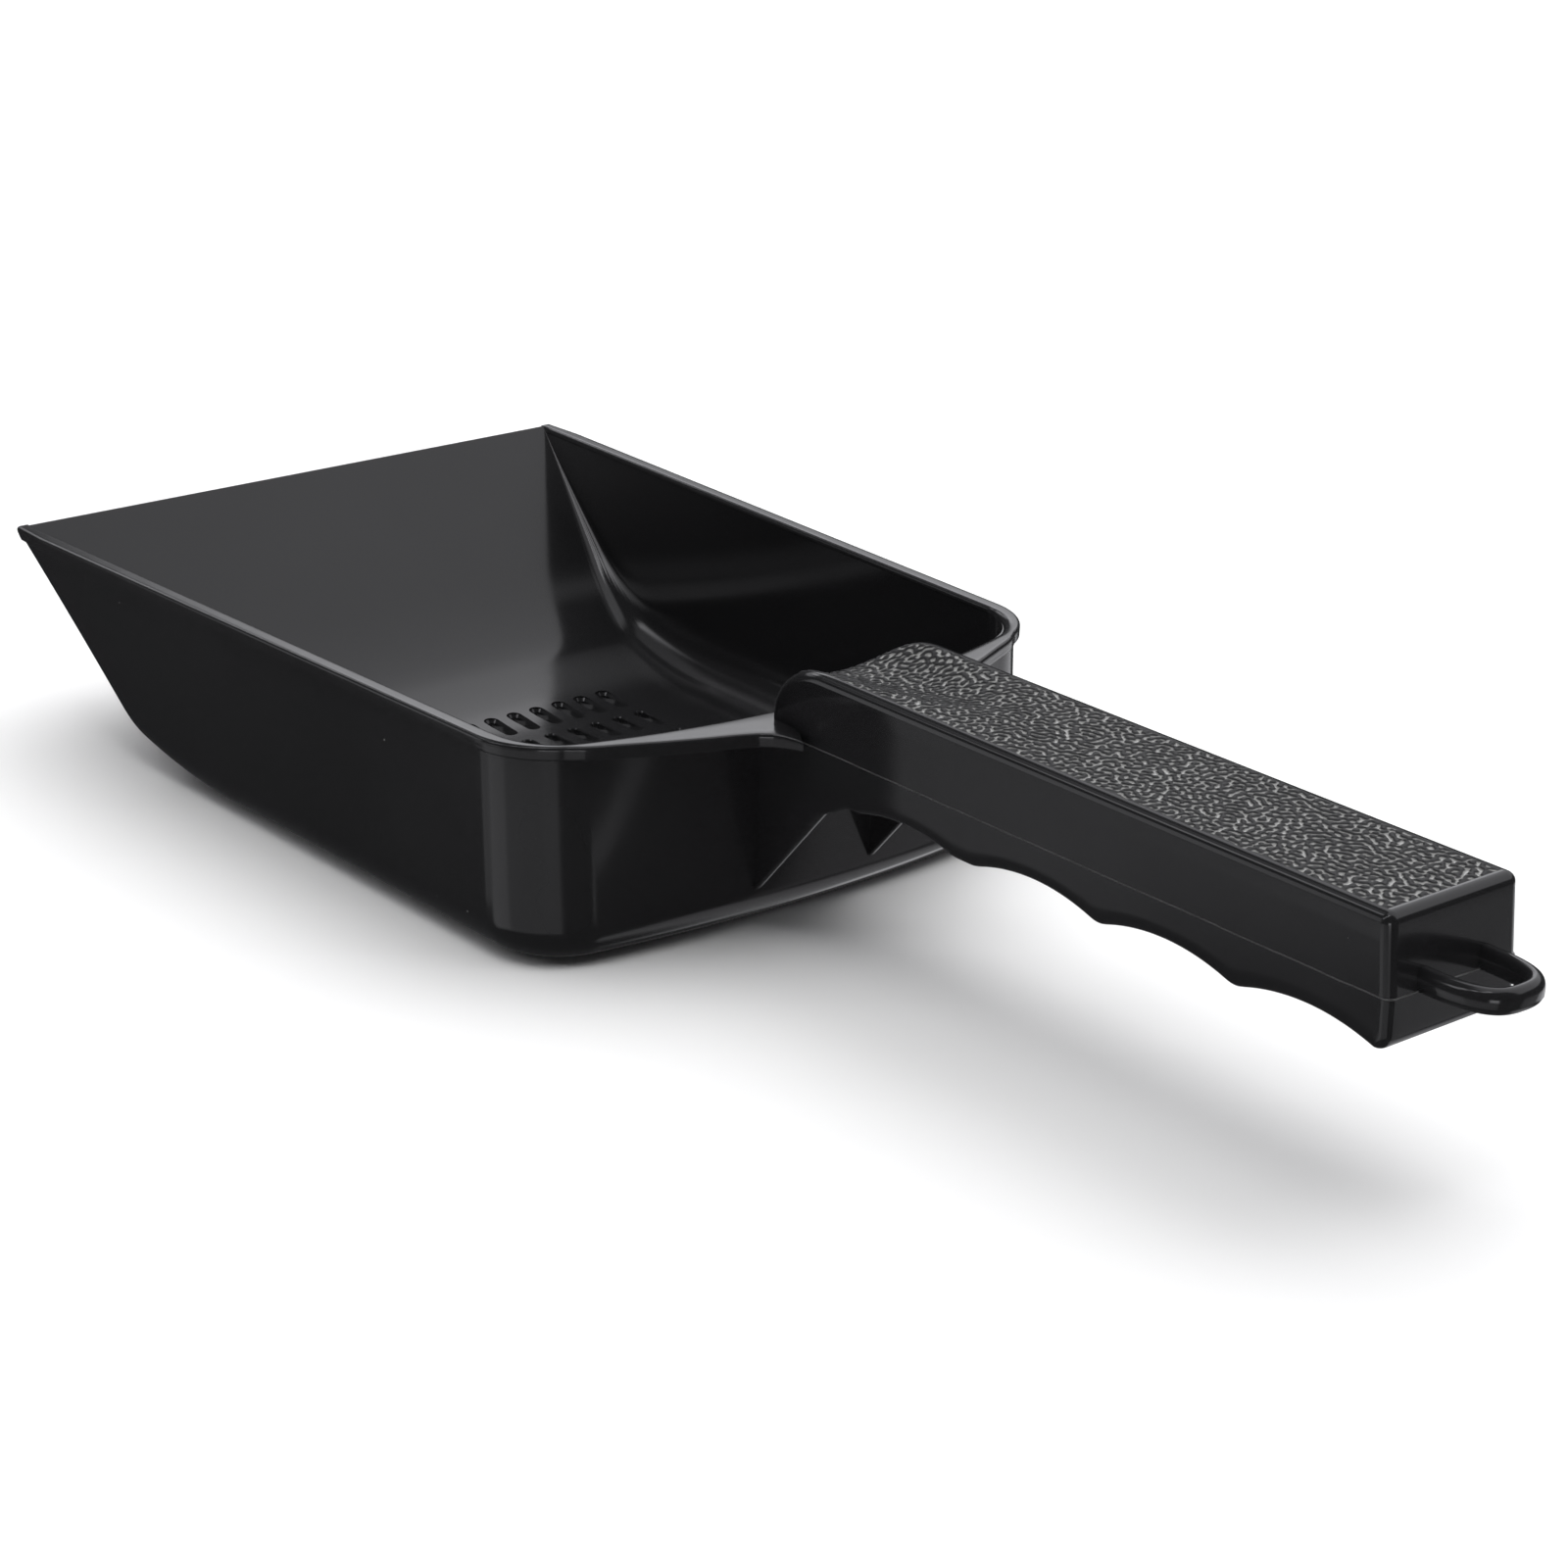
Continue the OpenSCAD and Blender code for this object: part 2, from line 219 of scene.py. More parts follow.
COUNTS = (110, 44, 20)
FOOT_BOW_R, FOOT_END_X = 330.0, PAN_L - 2.95
side_top = LIP_W / 2 - BEAD_OUT
side_tilt = math.atan((LIP_W - REAR_W) / 2 / PAN_L)
foot_half = (side_top + REAR_W / 2 - BEAD_OUT) / 2 - SIDE_DRAFT + PAN_L / 2 * math.tan(side_tilt / 3)
top_line, facing = plan_line(side_top, side_tilt, CORNER_R, BOW_R, PAN_L, *COUNTS)
foot_line, _ = plan_line(foot_half, side_tilt / 3, CORNER_R, FOOT_BOW_R, FOOT_END_X, *COUNTS)
inward = -np.stack([np.cos(facing), np.sin(facing)], 1)
print("wall foot spans %.1f mm" % (2 * foot_line[:, 1].max()))


# %% [markdown]
# The front of the pan is a ramp: a straight slope from the thin lip, a bend, and a long shallow
# run-out on to the floor. It is stepped as straight line, small arc, large arc and flat, for the
# underside, and the same again one wall higher for the inside. Inside, the bend shows as one long
# soft curve, so there the slope and the run-out are blended, which moves it by at most 1.4 mm.


# %% The ramp's side view
INSIDE_BEND = 5.5


def ramp_table(inset):
    """Places along the ramp and their heights: the underside or, with an inset, the inside."""
    drop = PAN_H - LIP_T - BEND_R * (math.cos(BEND_A) - math.cos(RAMP_A)) - RUN_R * (1 - math.cos(BEND_A))
    slope_x = drop / math.tan(RAMP_A)
    bend_x = slope_x + BEND_R * (math.sin(RAMP_A) - math.sin(BEND_A))
    pts = []
    for a in np.linspace(RAMP_A, BEND_A, 40):
        x = slope_x + BEND_R * (math.sin(RAMP_A) - math.sin(a))
        z = -LIP_T - drop - BEND_R * (math.cos(a) - math.cos(RAMP_A))
        pts.append((x + inset * math.sin(a), z + inset * math.cos(a), a))
    for a in np.linspace(BEND_A, 0, 60)[1:]:
        x = bend_x + RUN_R * (math.sin(BEND_A) - math.sin(a))
        z = -PAN_H + RUN_R * (1 - math.cos(a))
        pts.append((x + inset * math.sin(a), z + inset * math.cos(a), a))
    start = (LIP_LAND, 0.0) if inset else (0.0, -LIP_T)
    # the straight slope runs from the lip to where it touches the bend
    keep = [p for p in pts if math.atan2(start[1] - p[1], p[0] - start[0]) >= p[2] - 1e-3]
    line = np.array([start] + [(p[0], p[1]) for p in keep])
    xs = np.linspace(line[0, 0], line[-1, 0], 500)
    zs = np.interp(xs, line[:, 0], line[:, 1])
    if inset:
        steep = -(xs - start[0]) * line[1, 1] / (start[0] - line[1, 0])
        run = np.where(xs < bend_x, np.interp(bend_x, xs, zs) + (bend_x - xs) * math.tan(BEND_A), zs)
        near = np.clip(0.5 + 0.5 * (steep - run) / INSIDE_BEND, 0, 1)
        zs = run * (1 - near) + steep * near + INSIDE_BEND * near * (1 - near)
    return xs, zs


ramp_tables = {0.0: ramp_table(0.0), WALL: ramp_table(WALL)}


def ramp_height(inset, x):
    return np.interp(x, *ramp_tables[inset], right=-PAN_H + inset)


print("ramp height half way down", round(float(ramp_height(WALL, 15.0)), 2))

# %% [markdown]
# One upright section of the pan is a drafted wall line, a rounded edge and the floor line. The
# rounded edge is sharp at the lip and grows to its full radius where the floor gets flat. Running
# the section round the plan gives the inside skin with a 9.2 mm edge, and the outside skin with a
# tighter one.


# %% One skin of the pan
RAMP_END = FLAT_X + 8
BELOW_RIM, SPINE_X, SPINE_STEP = 1.0, 116.0, 0.05


def pan_skin(inset, radius, growth, rows_wall=9, rows_edge=18, rows_floor=16):
    columns = []
    land = LIP_LAND if inset else 0.0
    for k, d in enumerate(inward):
        t, f = top_line[k] + inset * d, foot_line[k] + inset * d
        if k == 0:
            t, f = t + [land, 0], f + [land, 0]
        draft = max(0.05, float((f - t) @ d))
        skew = (f - t) - draft * d
        x_floor = t[0] if k else land
        zf = float(ramp_height(inset, x_floor))
        # the rounded edge, which never takes more than the height there is
        r = max(1e-3, radius * growth(min(1.0, x_floor / FLAT_X)))
        r = min(r, max(1e-3, (-zf) * 0.98))
        delta = math.atan(draft / PAN_H)
        hc = (-(zf + r) / PAN_H) * draft + r / math.cos(delta)
        zc = zf + r
        z_touch = zc - r * math.sin(delta)
        col = []
        # down the wall, round the edge, and over the floor to the centre plane
        for z in np.linspace(min(0.0, max(-BELOW_RIM, z_touch)), z_touch, rows_wall):
            s = -z / PAN_H
            col.append((*(t + s * draft * d + s * skew), z))
        s = -z_touch / PAN_H
        for a in np.linspace(delta, math.pi / 2, rows_edge)[1:]:
            h, z = hc - r * math.cos(a), zc - r * math.sin(a)
            p = t + h * d + s * skew
            z_here = float(ramp_height(inset, p[0])) if p[0] < RAMP_END else zf
            col.append((*p, z + (z_here - zf) * (math.sin(a) ** 8 if k else 0)))
        g = np.array(col[-1])
        # each section ends at a place of its own, so that no two share a point
        spine = np.array([min(g[0], SPINE_X + SPINE_STEP * k), 0.0])
        for j in range(1, rows_floor + 1):
            p = g[:2] + (spine - g[:2]) * (j / rows_floor)
            col.append((*p, float(ramp_height(inset, p[0])) if p[0] < RAMP_END else -PAN_H + inset))
        columns.append(col)
    return np.array(columns)


inner = pan_skin(WALL, INSIDE_R, lambda u: math.sin(math.pi / 2 * u) ** 1.6)
outer = pan_skin(0.0, FLOOR_R, lambda u: u)
print("inner skin", inner.shape)


# %% Close the two skins into one shell
def pan_shell(inner, outer):
    n, m = inner.shape[:2]
    pts = np.concatenate([skin.reshape(-1, 3) for skin in (inner, inner * FLIP, outer, outer * FLIP)])
    block = n * m
    faces = []
    for b in range(4):
        faces += grid_faces(n, m, b * block)
    # strips join inside and outside under the rim and across the lip
    for side in range(2):
        a, c = side * block, (2 + side) * block
        for i in range(n - 1):
            faces.append((a + i * m, a + (i + 1) * m, c + (i + 1) * m, c + i * m))
        for j in range(m - 1):
            faces.append((a + j, a + j + 1, c + j + 1, c + j))
    return pts, faces


pts, faces = pan_shell(inner, outer)
pan = smooth_piece("pan_shell", pts, faces, angle=40)

# %% [markdown]
# The rim is a bead that stands 1 mm out from the walls. Behind the pan it widens into a flange that
# runs into the grip. Its section is a small closed outline: inner rounding, flat top, outer face and
# a short underside. The outline is carried round the plan, and its width is the distance from the
# wall to the edge of the flange.


# %% The outer line of the rim
# the flange's edge in plan, from where it leaves the bead to its tail beside the grip
flange_plan = np.array([(133.0, 51.45), (137.0, 50.7), (140.3, 49.5), (142.8, 47.8), (145.0, 45.8),
                        (146.9, 43.7), (148.8, 41.2), (150.9, 36.6), (153.6, 31.0), (156.0, 25.5),
                        (157.7, 21.0), (159.0, 18.2), (160.5, 16.4), (162.3, 15.0), (164.4, 13.9),
                        (166.6, 13.1), (168.6, 12.5), (170.0, 12.1)])
flange_edge = soften(evenly(flange_plan, 400), 60)
LIP_FADE, FLANGE_X, HIDDEN_REACH = 9.0, 134.0, 2.5


def rim_reach(k):
    p, d = top_line[k], -inward[k]
    # the bead is a third as wide at the lip as it is 9 mm behind it
    bead = BEAD_OUT * (0.35 + 0.65 * min(1.0, p[0] / LIP_FADE))
    if p[0] < FLANGE_X:
        return bead
    rel = flange_edge - p
    along, side = rel @ d, rel @ np.array([-d[1], d[0]])
    best = np.argmin(np.abs(side) + (along < 0) * 100)
    return float(max(along[best], bead)) if abs(side[best]) < 0.6 else bead


reach = np.array([rim_reach(k) for k in range(len(top_line))])
# under the grip the flange is out of sight
reach = np.where([p[1] < GRIP_W / 2 - 0.15 for p in top_line], HIDDEN_REACH, reach)
print("rim reach: side %.2f, widest %.2f mm" % (reach[20], reach.max()))


# %% Carry the rim's section round the pan
# roundings of the outer face, above and below, its lean, and where the flange's tail thins out
RIM_TOP_R, RIM_LOW_R, RIM_LEAN = 0.55, 0.25, 0.04
SOFT_X, TAIL_X, TAIL_L = 136.0, 160.0, 9.0


def rim_section(k):
    """One section: a closed outline in steps out from the wall's line, and heights."""
    t, d = top_line[k], -inward[k]
    x = t[0]
    z_floor = float(ramp_height(WALL, max(x, LIP_LAND)))
    depth = min(BEAD_H, LIP_T + max(0.0, x) * math.tan(RAMP_A) * 0.98)
    # the inner edge is crisp along the sides and softer across the rear
    rear = min(1.0, max(0.0, (x - SOFT_X) / 10.0))
    r_in = min(0.6 + 1.5 * rear, max(0.1, -z_floor * 0.9))
    e, r_out = reach[k], RIM_TOP_R
    zt = -min(r_in + 0.3, max(0.12, -z_floor))
    out = [(-WALL - 0.05 * -zt, zt)]
    for a in quarter(9):
        out.append((-WALL + r_in - r_in * math.cos(a), -r_in + r_in * math.sin(a)))
    for f in (0.25, 0.5, 0.75):
        out.append((-WALL + r_in + (e - r_out + WALL - r_in) * f, 0.0))
    for a in quarter(7):
        out.append((e - r_out + r_out * math.sin(a), -r_out + r_out * math.cos(a)))
    low = -depth + RIM_LOW_R
    for f in (0.33, 0.66):
        out.append((e - RIM_LEAN * f, -r_out + (low + r_out) * f))
    for a in quarter(5):
        out.append((e - RIM_LEAN - RIM_LOW_R * (1 - math.cos(a)), low - RIM_LOW_R * math.sin(a)))
    # back under the bead and up inside the wall, out of sight
    out += [(0.15, -depth), (-0.6, -depth)]
    out.append((-1.0, (zt - depth) / 2 if depth > -zt else zt * 0.6))
    at = [t + h * d for h, _ in out]
    # the flange's tail thins out beside the grip, instead of ending as a block
    thin = [0.85 * min(1.0, max(0.0, (p[0] - TAIL_X) / TAIL_L)) ** 1.4 for p in at]
    return [(*p, -depth + (z + depth) * (1 - f)) for p, (_, z), f in zip(at, out, thin)]


half = np.array([rim_section(k) for k in range(len(top_line))])
loop = np.concatenate([half, (half * FLIP)[::-1][1:]])
rim = smooth_piece("rim_bead", loop.reshape(-1, 3), tube_faces(*loop.shape[:2]), angle=38)

# %% [markdown]
# The floor has five rows of narrow slots that let dust and fine seed fall through. On the mould they
# are blades, all alike, set out on a grid, so the slots are made the same way: one small cutter,
# placed on a grid by Geometry Nodes, and then taken out of the shell. The cutter flares a little at
# the top, which leaves the slightly worn edge that a moulded slot has.


# %% One slot cutter
# a slot's length and width, the front of the first row, the pitches, and the counts
SLOT_L, SLOT_W, SLOT_FRONT = 7.8, 2.0, 53.8
ROW_PITCH, SLOT_PITCH, ROWS, COUNT = 11.1, 4.8, 5, 13
WORN_W, WORN_H, SLOT_SIDES = 0.42, 0.22, 20


def slot_cutter():
    top = -PAN_H + WALL
    rings = [(-PAN_H - 0.8, 0.0), (top - WORN_H, 0.0), (top + 0.3, WORN_W), (top + 6, WORN_W)]
    pts = []
    for z, grow in rings:
        r = SLOT_W / 2 + grow
        for j in range(SLOT_SIDES):
            a = 2 * math.pi * (j + 0.5) / SLOT_SIDES
            cx = (SLOT_L - SLOT_W) / 2 * (1 if math.cos(a) > 0 else -1)
            pts.append((cx + r * math.cos(a), r * math.sin(a), z))
    return pts, tube_faces(len(rings), SLOT_SIDES)


# %% Set the cutters out on a grid with Geometry Nodes
def add_node(tree, kind, links=None, **settings):
    node = tree.nodes.new(kind)
    for key, value in settings.items():
        if key.startswith("in_"):
            name = key[3:]
            socket = node.inputs[int(name)] if name.isdigit() else node.inputs[name.replace("_", " ")]
            socket.default_value = value
        else:
            setattr(node, key, value)
    for name, source in (links or {}).items():
        tree.links.new(source, node.inputs[name])
    return node


def slot_tree():
    tree = bpy.data.node_groups.new("slot_grid", "GeometryNodeTree")
    face = tree.interface
    face.new_socket("Geometry", in_out="INPUT", socket_type="NodeSocketGeometry")
    for name, value in (("Rows", ROWS), ("Slots in a row", COUNT)):
        face.new_socket(name, in_out="INPUT", socket_type="NodeSocketInt").default_value = value
    for name in ("Row pitch", "Slot pitch", "Front"):
        face.new_socket(name, in_out="INPUT", socket_type="NodeSocketFloat")
    face.new_socket("Material", in_out="INPUT", socket_type="NodeSocketMaterial")
    face.new_socket("Geometry", in_out="OUTPUT", socket_type="NodeSocketGeometry")
    gin = add_node(tree, "NodeGroupInput")
    span = []
    for count, pitch in (("Rows", "Row pitch"), ("Slots in a row", "Slot pitch")):
        gaps = add_node(tree, "ShaderNodeMath", {0: gin.outputs[count]}, operation="SUBTRACT", in_1=1.0)
        links = {0: gaps.outputs[0], 1: gin.outputs[pitch]}
        span.append(add_node(tree, "ShaderNodeMath", links, operation="MULTIPLY").outputs[0])
    links = {"Size X": span[0], "Size Y": span[1]}
    links.update({"Vertices X": gin.outputs["Rows"], "Vertices Y": gin.outputs["Slots in a row"]})
    grid = add_node(tree, "GeometryNodeMeshGrid", links)
    half = add_node(tree, "ShaderNodeMath", {0: span[0]}, operation="MULTIPLY", in_1=0.5)
    middle = add_node(tree, "ShaderNodeMath", {0: gin.outputs["Front"], 1: half.outputs[0]}, operation="ADD")
    shift = add_node(tree, "ShaderNodeCombineXYZ", {"X": middle.outputs[0]})
    links = {"Geometry": grid.outputs["Mesh"], "Translation": shift.outputs[0]}
    move = add_node(tree, "GeometryNodeTransform", links)
    links = {"Points": move.outputs[0], "Instance": gin.outputs["Geometry"]}
    place = add_node(tree, "GeometryNodeInstanceOnPoints", links)
    real = add_node(tree, "GeometryNodeRealizeInstances", {"Geometry": place.outputs[0]})
    links = {"Geometry": real.outputs[0], "Material": gin.outputs["Material"]}
    paint = add_node(tree, "GeometryNodeSetMaterial", links)
    add_node(tree, "NodeGroupOutput", {0: paint.outputs[0]})
    return tree


def run_tree(obj, tree, values):
    mod = obj.modifiers.new("rule", "NODES")
    mod.node_group = tree
    for item in tree.interface.items_tree:
        if item.in_out == "INPUT" and item.name in values:
            mod[item.identifier] = values[item.name]
    bpy.context.view_layer.update()
    return bake_modifiers(obj)


def bake_modifiers(obj):
    graph = bpy.context.evaluated_depsgraph_get()
    made = obj.evaluated_get(graph)
    mesh = bpy.data.meshes.new_from_object(made, preserve_all_data_layers=True, depsgraph=graph)
    obj.modifiers.clear()
    old, obj.data = obj.data, mesh
    bpy.data.meshes.remove(old)
    return obj


# %% Cut the slots out of the shell
black_slot = bpy.data.materials.new("slot_edge")
pts, faces = slot_cutter()
cutter = smooth_piece("slot_cutters", np.array(pts) + [BASE_X, 0, 0], faces, angle=30)
run_tree(cutter, slot_tree(), {"Row pitch": ROW_PITCH / 1000, "Slot pitch": SLOT_PITCH / 1000,
                               "Front": (SLOT_FRONT + SLOT_L / 2 - BASE_X) / 1000, "Material": black_slot})
print("cutters", len(cutter.data.polygons), "faces")
cut = pan.modifiers.new("slots", "BOOLEAN")
cut.operation, cut.solver, cut.object = "DIFFERENCE", "EXACT", cutter
bpy.context.view_layer.update()
bake_modifiers(pan)
bpy.data.objects.remove(cutter)
finish_shading(pan, 30)
print("pan with slots", len(pan.data.polygons), "faces")


# %% [markdown]
# Both halves of the grip are the same kind of solid: a side view drawn as a line, carried across the
# width, with its long edges rounded over on to flat flanks. One builder makes them. It takes the
# line, the direction that points into the body at each step, and the radius of the rounded edge.


# %% A bar from its side view
def bar_solid(line, into, half, radius, base, across=14, rows_edge=7, rows_flank=4, lift=None):
    """Rows of points across the bar: up one flank, over the top and down the other."""
    radius = np.broadcast_to(radius, (len(line),))
    rows = []
    for (x, z), (dx, dz), r, (bx, bz) in zip(line, into, radius, base):
        edge_x, edge_z = x + r * dx, z + r * dz
        row = []
        for f in np.linspace(0, 1, rows_flank + 1)[:-1]:
            row.append((bx + (edge_x - bx) * f, -half, bz + (edge_z - bz) * f))
        for a in quarter(rows_edge):
            k = r * (1 - math.sin(a))
            row.append((x + k * dx, -(half - r + r * math.cos(a)), z + k * dz))
        left = list(row)
        for y in np.linspace(-(half - r), half - r, across + 1)[1:-1]:
            row.append((x, y, z))
        row += [(p[0], -p[1], p[2]) for p in reversed(left)]
        rows.append(row)
    rows = np.array(rows)
    return lift(rows) if lift else rows


# %% [markdown]
# The cover's side view rises from the seam as a quarter ellipse, the rounded nose under the thumb,
# runs straight back and turns down over a small rounding to the end face, which leans in slightly.
# The thumb rest is a shallow trough, deepest at the nose and fading out along the grip.

# %% The cover's side view
EDGE_R, END_R, NOSE_L, NOSE_Z, END_DRAFT = 1.5, 1.5, 11.0, 0.5, 0.7
HALF = GRIP_W / 2
TOP_Z, TOP_END = COVER_H + 0.1, GRIP_END - END_DRAFT - END_R
# the thumb rest: depth at the nose, how long it takes to fade out, its hollow's radius, its soft edge
THUMB_D, THUMB_L, THUMB_SOFT = 4.0, 34.0, 0.9
THUMB_R = ((HALF - 1) ** 2 + THUMB_D ** 2) / 2 / THUMB_D


def cover_line(x_step):
    """The outline from the seam at the nose to the seam at the end, and the ways into the body."""
    pts, into = [], []
    for z in np.linspace(-SEAM_Z, NOSE_Z, 6)[:-1]:
        pts.append((NOSE_X, z))
        into.append((1, 0))
    for a in quarter(40):
        pts.append((NOSE_X + NOSE_L - NOSE_L * math.cos(a), NOSE_Z + (TOP_Z - NOSE_Z) * math.sin(a)))
        into.append((math.cos(a) / NOSE_L, -math.sin(a) / (TOP_Z - NOSE_Z)))
    for x in np.linspace(NOSE_X + NOSE_L, TOP_END, int((TOP_END - NOSE_X - NOSE_L) / x_step) + 1)[1:]:
        pts.append((x, TOP_Z))
        into.append((0, -1))
    for a in quarter(8)[1:]:
        pts.append((TOP_END + END_R * math.sin(a), TOP_Z - END_R + END_R * math.cos(a)))
        into.append((-math.sin(a), -math.cos(a)))
    for f in np.linspace(0, 1, 7)[1:]:
        pts.append((GRIP_END - END_DRAFT * (1 - f), TOP_Z - END_R - (TOP_Z - END_R + SEAM_Z) * f))
        into.append((-1, 0))
    return np.array(pts), unit(into)


def thumb_trough(x, y):
    ramp = THUMB_D / THUMB_L
    bottom = COVER_H - THUMB_D + (x - NOSE_X - 3) * ramp
    return bottom + THUMB_R - np.sqrt(np.maximum(THUMB_R ** 2 - y ** 2, 1.0))


def with_trough(rows):
    """Presses the trough into the top and leaves the flanks as they are."""
    z, cut = rows[..., 2], thumb_trough(rows[..., 0], rows[..., 1])
    h = np.clip(0.5 + 0.5 * (cut - z) / THUMB_SOFT, 0, 1)
    soft = cut * (1 - h) + z * h - THUMB_SOFT * h * (1 - h)
    upper = np.clip((z + 0.5) / 1.5, 0, 1)
    rows[..., 2] = np.where(z > -0.5, z + (soft - z) * upper, z)
    return rows


def seam_base(line, into, radius, x0, x1, z):
    """Where each step of an outline stands on the seam: in the same order, from end to end."""
    edge = line[:, 0] + radius * into[:, 0]
    step = way_along(line)
    f = (edge - edge.min()) / (edge.max() - edge.min())
    x = x0 + 0.7 + (x1 - x0 - 1.4) * np.clip(f, 0, 1) + 0.35 * (step / step[-1] - 0.5) * 2
    x[0], x[-1] = x0, x1
    return np.stack([np.maximum.accumulate(x), np.full(len(x), z)], 1)


# %% [markdown]
# The top of the cover carries a coarse leather grain, etched into the mould. It is a maze of matt
# pillows about 1.4 mm apart with narrow veins between them. Noise that has been filtered to that
# one spacing gives just such a maze. It is laid over the top as real height, 0.3 mm from vein to
# pillow, so it catches the light as the moulding does, and its height is also kept as an attribute
# of the mesh, for the finish to read.


# %% Leather grain as a height map
CELL, GRAIN_DEPTH, SPACING, MARGIN = 0.2, 0.3, 1.4, 1.5


def leather_map(length, width, cell, spacing, seed):
    """The maze, and a slow noise that makes the grain's border ragged."""
    nx, ny = int(length / cell) + 1, int(width / cell) + 1
    fx, fy = np.fft.fftfreq(nx, cell)[:, None], np.fft.fftfreq(ny, cell)[None, :]
    f = np.hypot(fx, fy * 0.92)
    maps = []
    for k, keep in enumerate((np.exp(-((f - 1 / spacing) / (0.34 / spacing)) ** 2), np.exp(-(f * 5.0) ** 2))):
        noise = np.random.default_rng(seed + k).standard_normal((nx, ny))
        wave = np.fft.ifft2(np.fft.fft2(noise) * keep).real
        maps.append(wave / wave.std())
    return maps


line, into = cover_line(CELL)
length = way_along(line)
maze, coarse = leather_map(length[-1] + 4, GRIP_W + 4, CELL, SPACING, 11)


def sample_map(m, s, y):
    i = np.clip(s / CELL, 0, m.shape[0] - 1.001)
    j = np.clip((y + GRIP_W / 2 + 2) / CELL, 0, m.shape[1] - 1.001)
    i0, j0 = i.astype(int), j.astype(int)
    fi, fj = i - i0, j - j0
    return (m[i0, j0] * (1 - fi) * (1 - fj) + m[i0 + 1, j0] * fi * (1 - fj)
            + m[i0, j0 + 1] * (1 - fi) * fj + m[i0 + 1, j0 + 1] * fi * fj)


print("leather map", maze.shape)

# %% The cover's surface in fine steps
ACROSS = 108
base = seam_base(line, into, EDGE_R, NOSE_X + EDGE_R, GRIP_END - EDGE_R, -SEAM_Z)
rows = bar_solid(line, into, HALF, EDGE_R, base, across=ACROSS, lift=with_trough)
n, m = rows.shape[:2]
# the first and last steps of the grained panel, along and across
i0 = int(np.argmax(line[:, 1] > 2.2))
i1 = int(np.max(np.nonzero(line[:, 0] < TOP_END - 0.3)[0]))
j_in = np.nonzero(np.abs(rows[n // 2, :, 1]) <= HALF - MARGIN + 0.02)[0]
j0, j1 = int(j_in.min()), int(j_in.max())
normals = unit(np.cross(np.gradient(rows, axis=1), np.gradient(rows, axis=0)) + 1e-12)
if normals[n // 2, m // 2, 2] < 0:
    normals = -normals
print("panel steps", i1 - i0, "by", j1 - j0)

# %% The grain's height
panel_top, panel_nrm = rows[i0:i1 + 1, j0:j1 + 1], normals[i0:i1 + 1, j0:j1 + 1]
s_at = np.broadcast_to(length[i0:i1 + 1, None], panel_top.shape[:2])
y_at = panel_top[..., 1]
wrinkle, ragged = sample_map(maze, s_at, y_at), sample_map(coarse, s_at, y_at)
# the grain fades out at the panel's border over half a millimetre
from_edge = HALF - MARGIN - np.abs(y_at)
fade = np.clip((from_edge - 0.15 - 0.35 * np.clip(ragged, -1, 1) * 0.5) / 0.5, 0, 1)
fade *= np.clip((s_at - s_at.min() - 0.1) / 0.8, 0, 1) * np.clip((s_at.max() - s_at - 0.05) / 0.3, 0, 1)
# 0 in the veins and 1 on the pillows, with rounded shoulders
relief = np.clip((wrinkle + 0.42) / 0.85, 0, 1)
relief = relief * (2 - relief)
grained = panel_top + panel_nrm * ((relief - 0.6) * GRAIN_DEPTH * fade)[..., None]
print("relief from %.2f to %.2f" % (relief.min(), relief.max()))


# %% The grained panel, closed underneath by a coarser grid
def every_fourth(count):
    return list(range(0, count - 1, 4)) + [count - 1]


p, q = grained.shape[:2]
ri, rj = every_fourth(p), every_fourth(q)
under = (panel_top - panel_nrm * 0.5)[np.ix_(ri, rj)]
u, v = len(ri), len(rj)
low = p * q
pf = grid_faces(p, q) + grid_faces(u, v, low)
for a in range(u - 1):
    for col, b in ((0, 0), (q - 1, v - 1)):
        edge = tuple(i * q + col for i in range(ri[a], ri[a + 1] + 1))
        pf.append(edge + (low + (a + 1) * v + b, low + a * v + b))
for b in range(v - 1):
    for row, a in ((0, 0), (p - 1, u - 1)):
        edge = tuple(row * q + j for j in range(rj[b], rj[b + 1] + 1))
        pf.append(edge + (low + a * v + b + 1, low + a * v + b))
pts = np.concatenate([grained.reshape(-1, 3), under.reshape(-1, 3)])
panel = smooth_piece("grained_panel", pts, pf, angle=50)

# %% Keep the grain's height on the mesh
FLAT_LEVEL = 0.7
flat_relief = (FLAT_LEVEL + (relief - FLAT_LEVEL) * fade).reshape(-1)
tree = kdtree.KDTree(p * q)
for k, point in enumerate(to_frame(grained.reshape(-1, 3))):
    tree.insert(point, k)
tree.balance()
values = []
for vert in panel.data.vertices:
    _, k, dist = tree.find(vert.co)
    values.append(float(flat_relief[k]) if dist < 2e-4 else FLAT_LEVEL)
panel.data.attributes.new("relief", "FLOAT", "POINT").data.foreach_set("value", values)
print("mean relief %.2f" % (sum(values) / len(values)))

# %% The cover, sunk a little under the panel and thinned to fewer points
cover_rows = rows.copy()
cover_rows[i0 + 1:i1, j0 + 1:j1] -= normals[i0 + 1:i1, j0 + 1:j1] * 0.3
ki = [i for i in range(n) if i <= i0 + 1 or i >= i1 - 1 or i % 4 == 0]
kj = [j for j in range(m) if j <= j0 + 1 or j >= j1 - 1 or j % 4 == 0]
thin_rows = cover_rows[np.ix_(ki, kj)]
cover = smooth_piece("grip_cover_skin", thin_rows.reshape(-1, 3), bar_faces(*thin_rows.shape[:2]), angle=35)

# %% [markdown]
# The lower half's side view runs along the underside: a short flat under the pan's rear wall, four
# shallow finger hollows with softly rounded ridges between them, and a rounded turn up the end face.
# The ridges are softened by averaging the line a few times, which is what polishing did to the mould.


